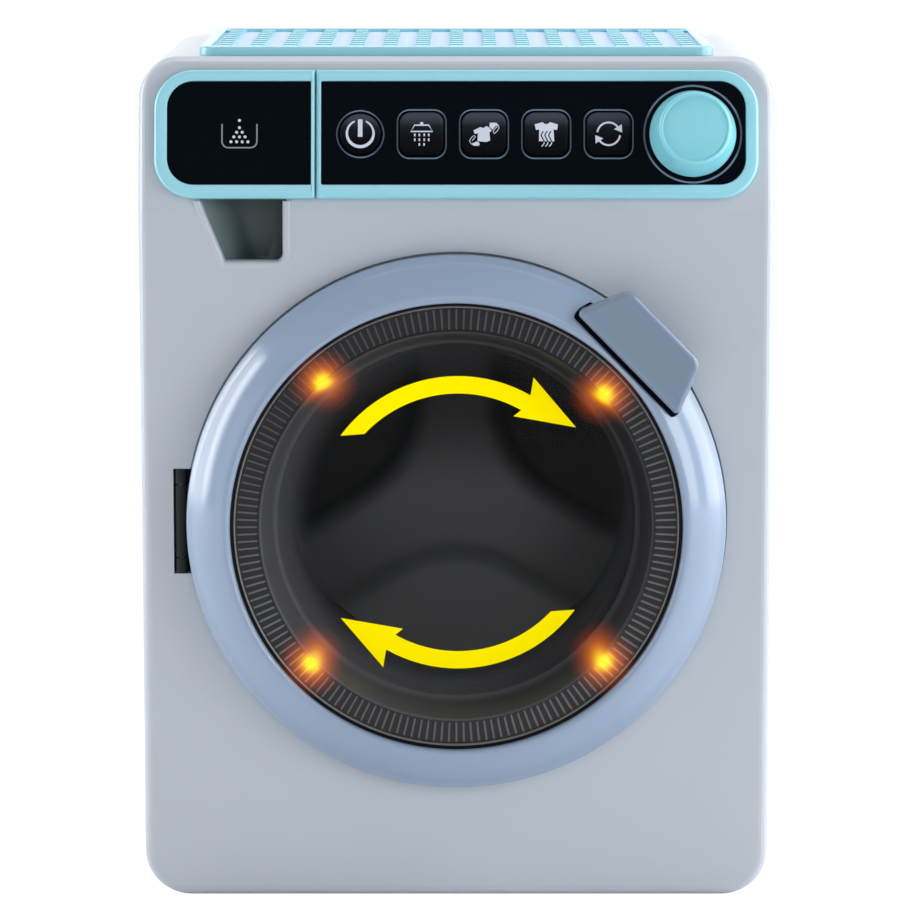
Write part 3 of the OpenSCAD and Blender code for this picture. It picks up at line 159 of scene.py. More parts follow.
def add_glow(m, centres, reach, strength):
    """Light of the lamps behind the border: a yellow core and an orange halo round each centre.

    Distances are measured across the front. On a see-through piece the strength is divided by its
    alpha, so that the light keeps its brightness.
    """
    t = m.node_tree
    shader = t.nodes["Principled BSDF"]
    flat = node(t, "ShaderNodeVectorMath", operation="MULTIPLY")
    flat.inputs[1].default_value = (1.0, 0.0, 1.0)
    t.links.new(node(t, "ShaderNodeTexCoord").outputs["Object"], flat.inputs[0])
    coords = flat.outputs["Vector"]
    nearest = None
    for c in centres:
        d = node(t, "ShaderNodeVectorMath", operation="DISTANCE")
        t.links.new(coords, d.inputs[0])
        d.inputs[1].default_value = (c[0], 0.0, c[2])
        if nearest is None:
            nearest = d.outputs["Value"]
        else:
            low = node(t, "ShaderNodeMath", operation="MINIMUM")
            t.links.new(nearest, low.inputs[0])
            t.links.new(d.outputs["Value"], low.inputs[1])
            nearest = low.outputs["Value"]
    scaled = node(t, "ShaderNodeMapRange")
    scaled.inputs["From Max"].default_value = reach
    t.links.new(nearest, scaled.inputs["Value"])
    color = ramp(t, scaled.outputs["Result"], [
        (0.0, (1.0, 0.82, 0.0)), (0.15, (0.97, 0.74, 0.0)), (0.25, (0.80, 0.36, 0.0)),
        (0.34, (0.54, 0.15, 0.0)), (0.44, (0.34, 0.065, 0.0)), (0.60, (0.16, 0.024, 0.0)),
        (0.78, (0.05, 0.006, 0.0)), (1.0, (0.0, 0.0, 0.0))])
    t.links.new(color, shader.inputs["Emission Color"])
    shader.inputs["Emission Strength"].default_value = strength
    if shader.inputs["Alpha"].is_linked:
        even = node(t, "ShaderNodeMath", operation="DIVIDE")
        even.inputs[0].default_value = strength
        t.links.new(shader.inputs["Alpha"].links[0].from_socket, even.inputs[1])
        t.links.new(even.outputs["Value"], shader.inputs["Emission Strength"])


def shade_by_height(m, stops, axis="Z"):
    """Painted light and shade: base colour graded across the piece's box, from its foot to its top or
    along another axis.
    """
    t = m.node_tree
    parts = node(t, "ShaderNodeSeparateXYZ")
    t.links.new(node(t, "ShaderNodeTexCoord").outputs["Generated"], parts.inputs[0])
    t.links.new(ramp(t, parts.outputs[axis], stops), t.nodes["Principled BSDF"].inputs["Base Color"])


def paint_rim_light(m, lit_rim_color, alpha, rim_alpha):
    """Painted light: the window turns lighter and less see-through towards the rim, most of all at the
    lower left.
    """
    t = m.node_tree
    shader = t.nodes["Principled BSDF"]

    def math_node(kind, a, b=None):
        n = node(t, "ShaderNodeMath", operation=kind)
        for socket, value in zip(n.inputs, (a, b)):
            if isinstance(value, float):
                socket.default_value = value
            elif value is not None:
                t.links.new(value, socket)
        return n.outputs["Value"]

    parts = node(t, "ShaderNodeSeparateXYZ")
    t.links.new(node(t, "ShaderNodeTexCoord").outputs["Object"], parts.inputs[0])
    x, z = parts.outputs["X"], math_node("SUBTRACT", parts.outputs["Z"], DOOR_Z * MM)
    r = math_node("SQRT", math_node("ADD", math_node("MULTIPLY", x, x), math_node("MULTIPLY", z, z)))
    near = node(t, "ShaderNodeMapRange", interpolation_type="SMOOTHSTEP")
    near.inputs["From Min"].default_value = RIM_LIGHT_FROM
    near.inputs["From Max"].default_value = RIM_LIGHT_TO
    t.links.new(r, near.inputs["Value"])
    lean = math_node("ADD", math_node("MULTIPLY", x, RIM_LIGHT_SIDE[0]), math_node("MULTIPLY", z, RIM_LIGHT_SIDE[1]))
    side = math_node("DIVIDE", lean, math_node("MAXIMUM", r, MM))
    share = node(t, "ShaderNodeMapRange")
    share.inputs["From Min"].default_value = -1.0
    share.inputs["To Min"].default_value = RIM_LIGHT_LEAST
    t.links.new(side, share.inputs["Value"])
    k = math_node("MULTIPLY", near.outputs["Result"], share.outputs["Result"])
    mix = node(t, "ShaderNodeMix", data_type="RGBA")
    t.links.new(k, mix.inputs["Factor"])
    t.links.new(shader.inputs["Base Color"].links[0].from_socket, mix.inputs[6])
    mix.inputs[7].default_value = (*lit_rim_color, 1.0)
    t.links.new(mix.outputs[2], shader.inputs["Base Color"])
    share_of_alpha = math_node("MULTIPLY", k, rim_alpha - alpha)
    t.links.new(math_node("ADD", share_of_alpha, alpha), shader.inputs["Alpha"])


def shade_by_tone(m):
    """Multiplies the base colour with the tone that the mesh carries: painted light and shade."""
    t = m.node_tree
    base = t.nodes["Principled BSDF"].inputs["Base Color"]
    mix = node(t, "ShaderNodeMix", data_type="RGBA", blend_type="MULTIPLY")
    mix.inputs["Factor"].default_value = 1.0
    t.links.new(base.links[0].from_socket, mix.inputs[6])
    t.links.new(node(t, "ShaderNodeAttribute", attribute_name="tone").outputs["Color"], mix.inputs[7])
    t.links.new(mix.outputs[2], base)


def set_tones(o, tone_at):
    """Gives each vertex of a piece the tone of its place, its painted light and shade; x and z start at
    the door's centre.
    """
    tones = o.data.color_attributes.new("tone", "FLOAT_COLOR", "POINT")
    for i, v in enumerate(o.data.vertices):
        value = tone_at(v.co.x / MM, v.co.z / MM - DOOR_Z)
        tones.data[i].color = (value, value, value, 1.0)


# Name, base colour, roughness, drift of the colour, scale and strength of the grain
GREY = material("shell_grey", (0.440, 0.480, 0.530), 0.32, 0.02, 700.0, 0.05)
TURQUOISE = material("turquoise", (0.268, 0.590, 0.688), 0.22, 0.02, 700.0, 0.04)
KNOB_TURQUOISE = material("knob_turquoise", (0.205, 0.560, 0.650), 0.26, 0.03, 900.0, 0.05)
BLACK = material("gloss_black", (0.0004, 0.0020, 0.0042), 0.07, 0.10, 300.0, 0.01,
                 Specular_IOR_Level=0.02)
KEY_BLACK_TOP_LIT = material("key_black", (0.006, 0.008, 0.012), 0.25, 0.10, 900.0, 0.05,
                     Specular_IOR_Level=0.03)
# Painted light: the black keys grow lighter towards their tops and darker towards their feet.
shade_by_height(KEY_BLACK_TOP_LIT, [
    (0.10, (0.0006, 0.0010, 0.0020)), (0.50, (0.0022, 0.0032, 0.0050)),
    (0.72, (0.0080, 0.0100, 0.0140)), (0.92, (0.0460, 0.0540, 0.0720))])
RING = material("ring_blue", (0.250, 0.322, 0.440), 0.15, 0.015, 500.0, 0.015)
BAND = material("window_band", (0.0030, 0.0035, 0.0050), 0.14, 0.08, 400.0, 0.02,
                Specular_IOR_Level=0.1)
# The lip's light grey is a painted highlight along the window's edge.
LIP_HIGHLIGHT = material("window_lip_highlight", (0.150, 0.145, 0.138), 0.18, 0.08, 400.0, 0.02)
FLANK = material("window_flank", (0.016, 0.0165, 0.018), 0.42, 0.06, 400.0, 0.02,
                 Specular_IOR_Level=0.2)
# Painted light: the flank turns lighter towards the rim, most of all at the lower left.
paint_rim_light(FLANK, (0.066, 0.067, 0.072), 1.0, 1.0)
BED = material("grille_bed", (0.560, 0.680, 0.860), 0.60, 0.01, 700.0, 0.04,
               Specular_IOR_Level=0.1)
TICK = material("grille_tick", (0.200, 0.540, 0.630), 0.35, 0.02, 700.0, 0.04)
HANDLE = material("handle_blue", (0.168, 0.218, 0.304), 0.22, 0.02, 900.0, 0.03)
WINDOW = material("window_smoke", (0.014, 0.0145, 0.016), 0.14, 0.08, 400.0, 0.02,
                  Specular_IOR_Level=0.25)
RIBS = material("window_ribs", (0.120, 0.120, 0.122), 0.22, 0.12, 900.0, 0.04)
shade_by_tone(RIBS)
DISH = material("window_dish", (0.003, 0.0035, 0.004), 0.10, 0.05, 200.0, 0.01,
                Specular_IOR_Level=0.08)
# Painted light: the dish turns lighter and less see-through towards the rim, most of all at the lower
# left.
paint_rim_light(DISH, (0.062, 0.063, 0.067), 0.42, 0.92)
DARK = material("dark_grey", (0.012, 0.016, 0.016), 0.50, 0.10, 900.0, 0.10,
                Specular_IOR_Level=0.2)
DRUM = material("drum_grey", (0.150, 0.152, 0.165), 0.32, 0.06, 700.0, 0.06)
DRUM_STAR = material("drum_star_grey", (0.740, 0.752, 0.790), 0.45, 0.03, 700.0, 0.04)
# The star's tone paints light and shade on it.
shade_by_tone(DRUM_STAR)
RECESS_SHADE = material("recess_painted_shade", (0.055, 0.085, 0.088), 0.34, 0.06, 700.0, 0.06)
# Painted light and shade: the recess is lightest on its left wall, which faces the light, and darkens
# towards the right.
shade_by_height(RECESS_SHADE, [
    (0.0, (0.155, 0.205, 0.215)), (0.28, (0.100, 0.138, 0.146)), (0.50, (0.066, 0.096, 0.103)),
    (0.80, (0.044, 0.068, 0.073)), (1.0, (0.034, 0.055, 0.059))], "X")
IVORY = material("acetal", (0.78, 0.76, 0.70), 0.42, 0.03, 500.0, 0.05)
STEEL = material("steel", (0.56, 0.56, 0.57), 0.28, 0.05, 1800.0, 0.08, Metallic=1.0)
BRASS = material("brass", (0.72, 0.53, 0.22), 0.25, 0.06, 1800.0, 0.08, Metallic=1.0)
BOARD = material("board_green", (0.020, 0.140, 0.055), 0.35, 0.12, 300.0, 0.08)
CELL = material("cell_jacket", (0.040, 0.210, 0.120), 0.30, 0.05, 300.0, 0.03)
WIRE = material("wire_red", (0.42, 0.03, 0.03), 0.45, 0.05, 500.0, 0.04)
AMBER = material("amber_lens", (1.0, 0.42, 0.03), 0.15, 0.03, 300.0, 0.02,
                 Emission_Color=(1.0, 0.55, 0.02, 1.0), Emission_Strength=1.0)
PRINT = material("print_white", (0.560, 0.590, 0.700), 0.40, 0.04, 900.0, 0.02)
PRINT_GREY = material("print_grey", (0.190, 0.235, 0.260), 0.40, 0.04, 900.0, 0.02)
OUTLINE_WITH_SHEEN = material("print_blue_sheen", (0.075, 0.150, 0.300), 0.35, 0.20, 900.0, 0.02)
# Painted highlight on the print: the outlines are lighter along their tops and bottoms than along their
# sides.
shade_by_height(OUTLINE_WITH_SHEEN, [
    (0.25, (0.100, 0.170, 0.240)), (0.33, (0.028, 0.050, 0.090)),
    (0.66, (0.028, 0.050, 0.090)), (0.75, (0.110, 0.180, 0.250))])
# Printed yellow film; its emission is painted light, a glow that keeps it evenly bright.
YELLOW_GLOWING = material("film_yellow_painted_glow", (0.90, 0.74, 0.0), 0.45, 0.01, 900.0, 0.01, Specular_IOR_Level=0.0,
                  Emission_Color=(1.0, 0.85, 0.0, 1.0), Emission_Strength=0.22)

# Each glow's centre lies a little beside its lamp, as in the photo
GLOW_REACH = 0.0108                         # metres
GLOW_SHIFT = ((0.7, 0.0), (0.4, 0.4), (-0.3, -1.5), (1.0, -0.9))
DEEPER = 1.006                              # widening that makes up for a surface's greater depth
glow_points = [tuple(on_door(LAMP_R, a, 0.0) + at(dx, 0.0, dz))
               for a, (dx, dz) in zip(LAMP_ANGLES, GLOW_SHIFT)]
for m, strength in ((RIBS, 1.15), (WINDOW, 1.15), (BAND, 1.0), (LIP_HIGHLIGHT, 0.6)):
    add_glow(m, glow_points, GLOW_REACH, strength)
# The flank and the dish lie deeper, so their light is moved to look centred from the front
for m, strength, drop in ((FLANK, 1.1, 0.1), (DISH, 0.8, 0.9)):
    add_glow(m, [(x * DEEPER, y, z - drop * MM) for x, y, z in glow_points], GLOW_REACH, strength)

# Materials of the CAD nodes; the sets of screws are steel
NODE_MATERIALS = {
    "cabinet": GREY, "rear_cover": GREY, "battery_door": GREY, "top_grille": TURQUOISE,
    "control_window": BLACK, "drawer_window": BLACK, "control_board": BOARD, "knob": KNOB_TURQUOISE,
    "control_bezel": TURQUOISE, "drawer_front": TURQUOISE, "power_key": KEY_BLACK_TOP_LIT, "key_1": KEY_BLACK_TOP_LIT,
    "key_2": KEY_BLACK_TOP_LIT, "key_3": KEY_BLACK_TOP_LIT, "key_4": KEY_BLACK_TOP_LIT, "tact_switches": DARK,
    "encoder_body": STEEL, "encoder_shaft": STEEL, "drawer_tray": IVORY, "drawer_guide": IVORY,
    "door_ring": RING, "door_back": RING, "door_window": WINDOW, "door_handle": HANDLE,
    "handle_pin": STEEL, "latch_catch": DARK, "hinge_arm": DARK, "hinge_bracket": DARK,
    "hinge_pin": STEEL, "tub": DARK, "lamps": AMBER, "drum": DRUM, "drum_star": DRUM,
    "drum_shaft": STEEL, "shaft_bush": BRASS, "drum_gear": IVORY, "idler_gear": IVORY,
    "idler_pin": STEEL, "gear_cover": DARK, "motor": STEEL, "motor_pinion": BRASS,
    "battery_cells": CELL, "battery_contacts": STEEL, "speaker": DARK, "leads": WIRE,
}
for name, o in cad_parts.items():
    o.data.materials.clear()
    o.data.materials.append(NODE_MATERIALS.get(name, STEEL))
    for p in o.data.polygons:
        p.material_index = 0


# Mesh helpers
def piece(name, verts, faces, mat, body, nodes, sharp):
    """A visible piece on a body; its surface is smooth but for edges sharper than the angle."""
    mesh = bpy.data.meshes.new(name)
    mesh.from_pydata([tuple(v) for v in verts], [], faces)
    bm = bmesh.new()
    bm.from_mesh(mesh)
    bmesh.ops.remove_doubles(bm, verts=bm.verts, dist=1e-7)
    bmesh.ops.recalc_face_normals(bm, faces=bm.faces)
    bm.to_mesh(mesh)
    bm.free()
    mesh.materials.append(mat)
    mesh.shade_smooth()
    mesh.set_sharp_from_angle(angle=math.radians(sharp))
    o = bpy.data.objects.new(name, mesh)
    bpy.context.collection.objects.link(o)
    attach(o, body)
    if nodes:
        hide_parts(*nodes)
    return o


class Shape:
    """Collects lofted forms, so that one piece can hold several of them."""

    def __init__(self):
        self.verts, self.faces = [], []

    def loft(self, loops, closed=False, caps=True):
        """Skin through a row of loops; closed joins the last loop to the first."""
        base, n = len(self.verts), len(loops[0])
        for loop in loops:
            self.verts.extend(loop)
        rows = len(loops)
        for i in range(rows if closed else rows - 1):
            a, b = base + i * n, base + ((i + 1) % rows) * n
            for k in range(n):
                self.faces.append((a + k, a + (k + 1) % n, b + (k + 1) % n, b + k))
        if caps and not closed:
            self.faces.append(tuple(base + k for k in range(n)))
            self.faces.append(tuple(base + (rows - 1) * n + k for k in range(n)))

    def mesh_object(self, name):
        """A closed helper object that carries the forms and belongs to no piece."""
        mesh = bpy.data.meshes.new(name)
        mesh.from_pydata(self.verts, [], self.faces)
        build = bmesh.new()
        build.from_mesh(mesh)
        bmesh.ops.recalc_face_normals(build, faces=build.faces)
        build.to_mesh(mesh)
        build.free()
        helper = bpy.data.objects.new(name, mesh)
        bpy.context.scene.collection.objects.link(helper)
        return helper

    def make(self, name, mat, body, slot, nodes=(), sharp=40.0):
        return piece(name, self.verts, self.faces, mat, body, nodes, sharp)


def round_rect(x0, x1, s0, s1, radii, n=10):
    """Outline with its own radius at each corner: low left, low right, top right, top left."""
    points = []
    corners = [(x0, s0, 1, 1), (x1, s0, -1, 1), (x1, s1, -1, -1), (x0, s1, 1, -1)]
    for i, (cx, cs, dx, ds) in enumerate(corners):
        r = max(radii[i], 0.02)
        for k in range(n + 1):
            a = math.radians(180 + 90 * i + 90 * k / n)
            points.append((cx + dx * r + r * math.cos(a), cs + ds * r + r * math.sin(a)))
    return points


def edge(t0, t1, r, n=5):
    """(inset, t) pairs from t0 up to t1, with a rounded edge of radius r at t1."""
    return [(0.0, t0)] + [(r * (1 - math.cos(a)), t1 - r + r * math.sin(a))
                          for a in (math.pi / 2 * k / n for k in range(n + 1))]


def panel_loop(outline, t):
    """An (x, s) outline on the leaning panel at height t."""
    return [on_panel(x, s, t) for x, s in outline]


def circle(cx, cs, r, n=64):
    return [(cx + r * math.cos(2 * math.pi * k / n), cs + r * math.sin(2 * math.pi * k / n))
            for k in range(n)]


def lathe(shape, profile, place, n=180, closed=True):
    """Turns (r, depth) pairs with place(r, degrees, depth)."""
    loops = [[place(r, 360.0 * k / n, y) for k in range(n)] for r, y in profile]
    shape.loft(loops, closed=closed, caps=False)


# Control panel
BEZEL_R, SQUARE_R = 11.7, 0.5                # outer corners, and those at the drawer's split
BEZEL_X, BEZEL_LOW, BEZEL_TOP = 90.0, 3.3, 41.8
BORDER_SIDE, BORDER_LOW, BORDER_TOP = 3.8, 4.0, 3.4
SPLIT_LEFT, SPLIT_RIGHT = -42.1, -41.7
DRAWER_PLATE = (0.3, PANEL_T - 1.25)         # heights of the two faces of the drawer's back plate


def bezel_ring(x0, x1, left_r, right_r, left_in, right_in):
    """Turquoise frame between an outer and an inner outline, with rounded lips."""
    def outer(d):
        r = [max(q - d, 0.3) for q in (left_r, right_r, right_r, left_r)]
        return round_rect(x0 + d, x1 - d, BEZEL_LOW + d, BEZEL_TOP - d, r)

    def inner(d):
        li, ri = max(left_r - left_in, 0.5), max(right_r - right_in, 0.5)
        r = [li + d, ri + d, ri + d, li + d]
        return round_rect(x0 + left_in - d, x1 - right_in + d,
                          BEZEL_LOW + BORDER_LOW - d, BEZEL_TOP - BORDER_TOP + d, r)

    loops = [panel_loop(outer(d), t) for d, t in edge(0.0, BEZEL_T, 1.1)]
    loops += [panel_loop(inner(d), t) for d, t in reversed(edge(0.0, BEZEL_T, 0.3, 3))]
    return loops


bezel = Shape()
bezel.loft(bezel_ring(SPLIT_RIGHT, BEZEL_X, SQUARE_R, BEZEL_R, 1.4, BORDER_SIDE), closed=True)
bezel.make("bezel_frame", TURQUOISE, "base", "turquoise", ["control_bezel"])

drawer = Shape()
drawer.loft(bezel_ring(-BEZEL_X, SPLIT_LEFT, BEZEL_R, SQUARE_R, BORDER_SIDE, 0.9), closed=True)
back = round_rect(-BEZEL_X, SPLIT_LEFT, BEZEL_LOW, BEZEL_TOP, [BEZEL_R, SQUARE_R, SQUARE_R, BEZEL_R])
drawer.loft([panel_loop(back, t) for t in DRAWER_PLATE])
drawer.make("drawer_face", TURQUOISE, "drawer", "turquoise", ["drawer_front"])

KEY_FOOT, KEY_TOP, KEY_END = -4.0, PANEL_T + 1.0, -6.6
FLANGE_TOP, DIMPLE = KEY_FOOT + 1.3, 0.12
KEY_HALF, KEY_R, KEY_EDGE, STEM_R = 6.5, 3.2, 0.9, 2.0


def key_cap(name, outline, flange, x, body):
    """Key with a hidden flange, a rounded edge, a slightly hollow top and the stem on its switch."""
    s = Shape()
    rim = [panel_loop(flange, KEY_FOOT), panel_loop(flange, FLANGE_TOP)]
    rim += [panel_loop(outline(d), t) for d, t in edge(FLANGE_TOP, KEY_TOP, KEY_EDGE)]
    rim += [panel_loop(outline(2.4), KEY_TOP - DIMPLE), panel_loop(outline(4.2), KEY_TOP - 0.2)]
    s.loft(rim)
    s.loft([panel_loop(circle(x, PANEL_MID, STEM_R, 24), t) for t in (KEY_END, KEY_FOOT)])
    s.make(name, KEY_BLACK_TOP_LIT, body, "black", [body])


def square(x, half, r):
    """Rounded square round a key's centre."""
    return round_rect(x - half, x + half, PANEL_MID - half, PANEL_MID + half, [r] * 4, 8)


for i, x in enumerate(KEY_XS):
    def key_outline(d, x=x):
        return square(x, KEY_HALF - d, max(KEY_R - d, 0.4))
    key_cap("key_cap_%d" % (i + 1), key_outline, key_outline(-1.3), x, "key_%d" % (i + 1))


def power_outline(d):
    return circle(POWER_X, PANEL_MID, POWER_R - d)


key_cap("power_cap", power_outline, power_outline(-1.0), POWER_X, "power_key")


# Printed outlines round the keys and the knob, as thin raised film on the black panel
FILM, FILM_SINK = 0.05, 0.02                # how far a film stands out of its surface, and dips into it


def film_ring(shape, outer, inner):
    shape.loft([panel_loop(outer, PANEL_T - FILM_SINK), panel_loop(outer, PANEL_T + FILM),
                panel_loop(inner, PANEL_T + FILM), panel_loop(inner, PANEL_T - FILM_SINK)], closed=True)


outlines = Shape()
PRINT_HALF, PRINT_R, PRINT_W = 7.45, 3.8, 0.39
for x in KEY_XS:
    film_ring(outlines, square(x, PRINT_HALF, PRINT_R),
              square(x, PRINT_HALF - PRINT_W, PRINT_R - PRINT_W))
for x, r_out, r_in, n in ((POWER_X, 7.2, 6.8, 64), (KNOB_X, 14.75, 14.2, 96)):
    film_ring(outlines, circle(x, PANEL_MID, r_out, n), circle(x, PANEL_MID, r_in, n))
outlines.make("printed_outlines", OUTLINE_WITH_SHEEN, "base", "black")


# Pictograms: strokes and filled outlines in the panel's plane, at height t
def stroke(shape, points, width, t, closed=False, thick=FILM):
    """A line of even width through (x, s) points."""
    n = len(points)
    left, right = [], []
    for i, p in enumerate(points):
        a = points[(i - 1) % n] if closed or i > 0 else p
        b = points[(i + 1) % n] if closed or i < n - 1 else p
        dx, ds = b[0] - a[0], b[1] - a[1]
        k = math.hypot(dx, ds)
        nx, ns = -ds / k * width / 2, dx / k * width / 2
        left.append((p[0] + nx, p[1] + ns))
        right.append((p[0] - nx, p[1] - ns))
    rows = [panel_loop(q, h) for q, h in ((left, t - FILM_SINK), (left, t + thick),
                                          (right, t + thick), (right, t - FILM_SINK))]
    if closed:
        shape.loft(rows, closed=True)
    else:
        shape.loft([[row[i] for row in rows] for i in range(n)])


def patch(shape, points, t):
    shape.loft([panel_loop(points, t - FILM_SINK), panel_loop(points, t + FILM)])


def arc_points(cx, cs, r, a0, a1, n=24):
    return [(cx + r * math.cos(math.radians(a0 + (a1 - a0) * k / n)),
             cs + r * math.sin(math.radians(a0 + (a1 - a0) * k / n))) for k in range(n + 1)]


def turned(points, x, degrees):
    """Points round a key's centre, turned about it."""
    a = math.radians(degrees)
    return [(x + px * math.cos(a) - ps * math.sin(a), PANEL_MID + px * math.sin(a) + ps * math.cos(a))
            for px, ps in points]


def shifted(points, x):
    """Points round a key's centre, moved to the key at x."""
    return [(px + x, ps + PANEL_MID) for px, ps in points]


ICON_T = KEY_TOP - DIMPLE
power = Shape()
stroke(power, arc_points(POWER_X, PANEL_MID + 0.25, 4.2, 116, 424, 40), 1.15, ICON_T)
stroke(power, [(POWER_X, PANEL_MID - 0.9), (POWER_X, PANEL_MID + 5.1)], 1.35, ICON_T)
power.make("power_mark", PRINT, "power_key", "black")

shower = Shape()
x = KEY_XS[0]
head = [(-3.3, 0.7), (-2.1, 2.6), (2.1, 2.6), (3.3, 0.7)]
stroke(shower, shifted(head, x), 0.42, ICON_T, closed=True)
stroke(shower, shifted([(0.0, 2.7), (0.0, 3.5)], x), 0.9, ICON_T)
DROP, DROP_PITCH = 0.8, 1.42
for row, columns in enumerate(((-2.05, -0.7, 0.76, 2.1), (-2.05, -0.7, 0.76, 2.1), (-0.7, 0.7))):
    top = 0.05 - DROP_PITCH * row
    for dx in columns:
        stroke(shower, shifted([(dx, top), (dx, top - DROP)], x), 0.46, ICON_T)
shower.make("shower_mark", PRINT, "key_1", "black")

tumble = Shape()
x = KEY_XS[1] - 0.15
for part in (
        [(-3.02, 1.0), (-0.89, 2.05), (-0.2, 1.68), (0.91, 2.3), (1.6, 1.95), (2.5, 0.9), (1.72, 0.47),
         (1.98, -1.98), (0.91, -2.45), (-0.36, -2.36), (-1.81, -2.15), (-1.68, 0.19), (-2.6, -0.06)],
        [(1.75, 2.1), (1.87, 3.3), (3.79, 3.34), (4.53, 2.49), (3.47, 2.28), (2.75, 1.2)],
        [(-3.51, -2.94), (-2.06, -2.3), (-1.53, -2.4), (-1.1, -3.15), (-1.53, -3.6), (-2.8, -3.6),
         (-3.72, -3.08)]):
    patch(tumble, shifted(part, x), ICON_T)
for swirl in (
        [(4.4, 2.6), (4.62, 1.7), (3.95, 0.7), (3.2, 0.0), (2.85, 0.6), (3.3, 1.4), (4.1, 2.2)],
        [(-3.65, -3.0), (-4.2, -2.1), (-3.7, -1.2), (-2.85, -0.5), (-2.35, -0.9), (-3.0, -1.6),
         (-3.4, -2.1)]):
    stroke(tumble, shifted(swirl, x), 0.2, ICON_T, thick=0.04)
tumble.make("tumble_mark", PRINT, "key_2", "black")

steam, waves = Shape(), Shape()
x = KEY_XS[2] - 0.15
shirt = [(-3.34, 2.8), (-1.0, 3.5), (-0.5, 3.05), (0.1, 2.87), (0.75, 3.05), (1.23, 3.5), (3.57, 2.8),
         (3.36, 1.15), (2.3, 1.35), (2.5, -2.3), (-2.06, -2.2), (-1.96, 1.3), (-2.91, 1.15)]
on_shirt = [(-0.7, 0.8), (-1.15, 0.15), (-1.4, -0.5), (-1.0, -1.3), (-0.45, -2.35)]
below = [(-0.5, -2.45), (-0.55, -2.9), (-0.85, -3.35), (-1.25, -3.8)]
WAVE_PITCH = 1.12
patch(steam, shifted(shirt, x), ICON_T)
for k in range(3):
    stroke(waves, shifted(on_shirt, x + WAVE_PITCH * k), 0.34, ICON_T + 0.04)
    stroke(steam, shifted(below, x + WAVE_PITCH * k), 0.28, ICON_T)
steam.make("steam_mark", PRINT, "key_3", "black")
waves.make("steam_waves", KEY_BLACK_TOP_LIT, "key_3", "black")

cycle = Shape()
x = KEY_XS[3]
for turn in (0, 180):
    stroke(cycle, turned(arc_points(0, 0, 3.4, 38, 172, 20), x, turn), 0.55, ICON_T)
    patch(cycle, turned([(3.9, 2.9), (1.6, 1.4), (4.0, 0.4)], x, turn), ICON_T)
cycle.make("cycle_mark", PRINT, "key_4", "black")

soap, soap_dots = Shape(), Shape()
SOAP_X, SOAP_S = -64.58, 18.45               # middle of the tray's underside
TRAY_HALF, TRAY_H, TRAY_R = 5.2, 7.1, 1.9
DOT_R, DOT_PITCH = 0.45, 1.68
tray = [(SOAP_X - TRAY_HALF, SOAP_S + TRAY_H)]
tray += arc_points(SOAP_X - TRAY_HALF + TRAY_R, SOAP_S + TRAY_R, TRAY_R, 180, 270, 8)
tray += arc_points(SOAP_X + TRAY_HALF - TRAY_R, SOAP_S + TRAY_R, TRAY_R, 270, 360, 8)
tray += [(SOAP_X + TRAY_HALF, SOAP_S + TRAY_H)]
stroke(soap, tray, 0.42, PANEL_T)
for count, ds in ((4, 1.76), (3, 3.23), (2, 4.62), (1, 6.0), (1, 8.15)):
    for k in range(count):
        dot_x = SOAP_X + (k - (count - 1) / 2) * DOT_PITCH
        patch(soap_dots, circle(dot_x, SOAP_S + ds, DOT_R, 14), PANEL_T)
soap.make("soap_mark", PRINT_GREY, "drawer", "black")
soap_dots.make("soap_dots", PRINT, "drawer", "black")


# Knob
def on_knob(r, degrees, t):
    a = math.radians(degrees)
    return on_panel(KNOB_X + r * math.cos(a), PANEL_MID + r * math.sin(a), t)


# (r, t) from the bore's roof down its wall, under the skirt, up the cone and over the face
knob_profile = [
    (3.02, 13.8), (3.02, 2.9), (5.0, 2.9), (5.0, 12.6), (8.5, 12.6), (10.9, 2.9), (12.5, 2.9),
    (12.9, 3.2), (12.9, 3.9), (12.7, 4.4), (11.0, 14.6), (10.75, 15.7), (10.45, 16.4), (10.1, 16.75),
    (9.8, 16.75), (9.6, 16.5), (9.35, 16.45), (9.0, 16.6), (4.0, 16.75), (0.02, 16.8)]
bore_roof = [(3.02, 13.8), (0.02, 13.8)]
knob = Shape()
for profile in (knob_profile, bore_roof):
    lathe(knob, profile, on_knob, 128, closed=False)
knob.make("knob_cap", KNOB_TURQUOISE, "knob", "turquoise", ["knob"], 50.0)

# Door window
FLANGE_Y, RIB_Y = -11.4, -10.9
DOOR_STEPS = 240


def door_piece(name, mat, profile, nodes=(), sharp=40.0, n=DOOR_STEPS):
    """Turned piece of the window, from a closed profile of (r, y) pairs."""
    shape = Shape()
    lathe(shape, profile, on_door, n)
    shape.make(name, mat, "door", "smoke", nodes, sharp)


door_piece("window_band", BAND, [
    (69.2, FLANGE_Y), (67.3, FLANGE_Y - 0.03), (66.8, FLANGE_Y + 0.05), (66.65, FLANGE_Y + 0.9),
    (66.65, FLANGE_Y + 1.8), (69.2, FLANGE_Y + 1.8)], ["door_window"], 50.0)
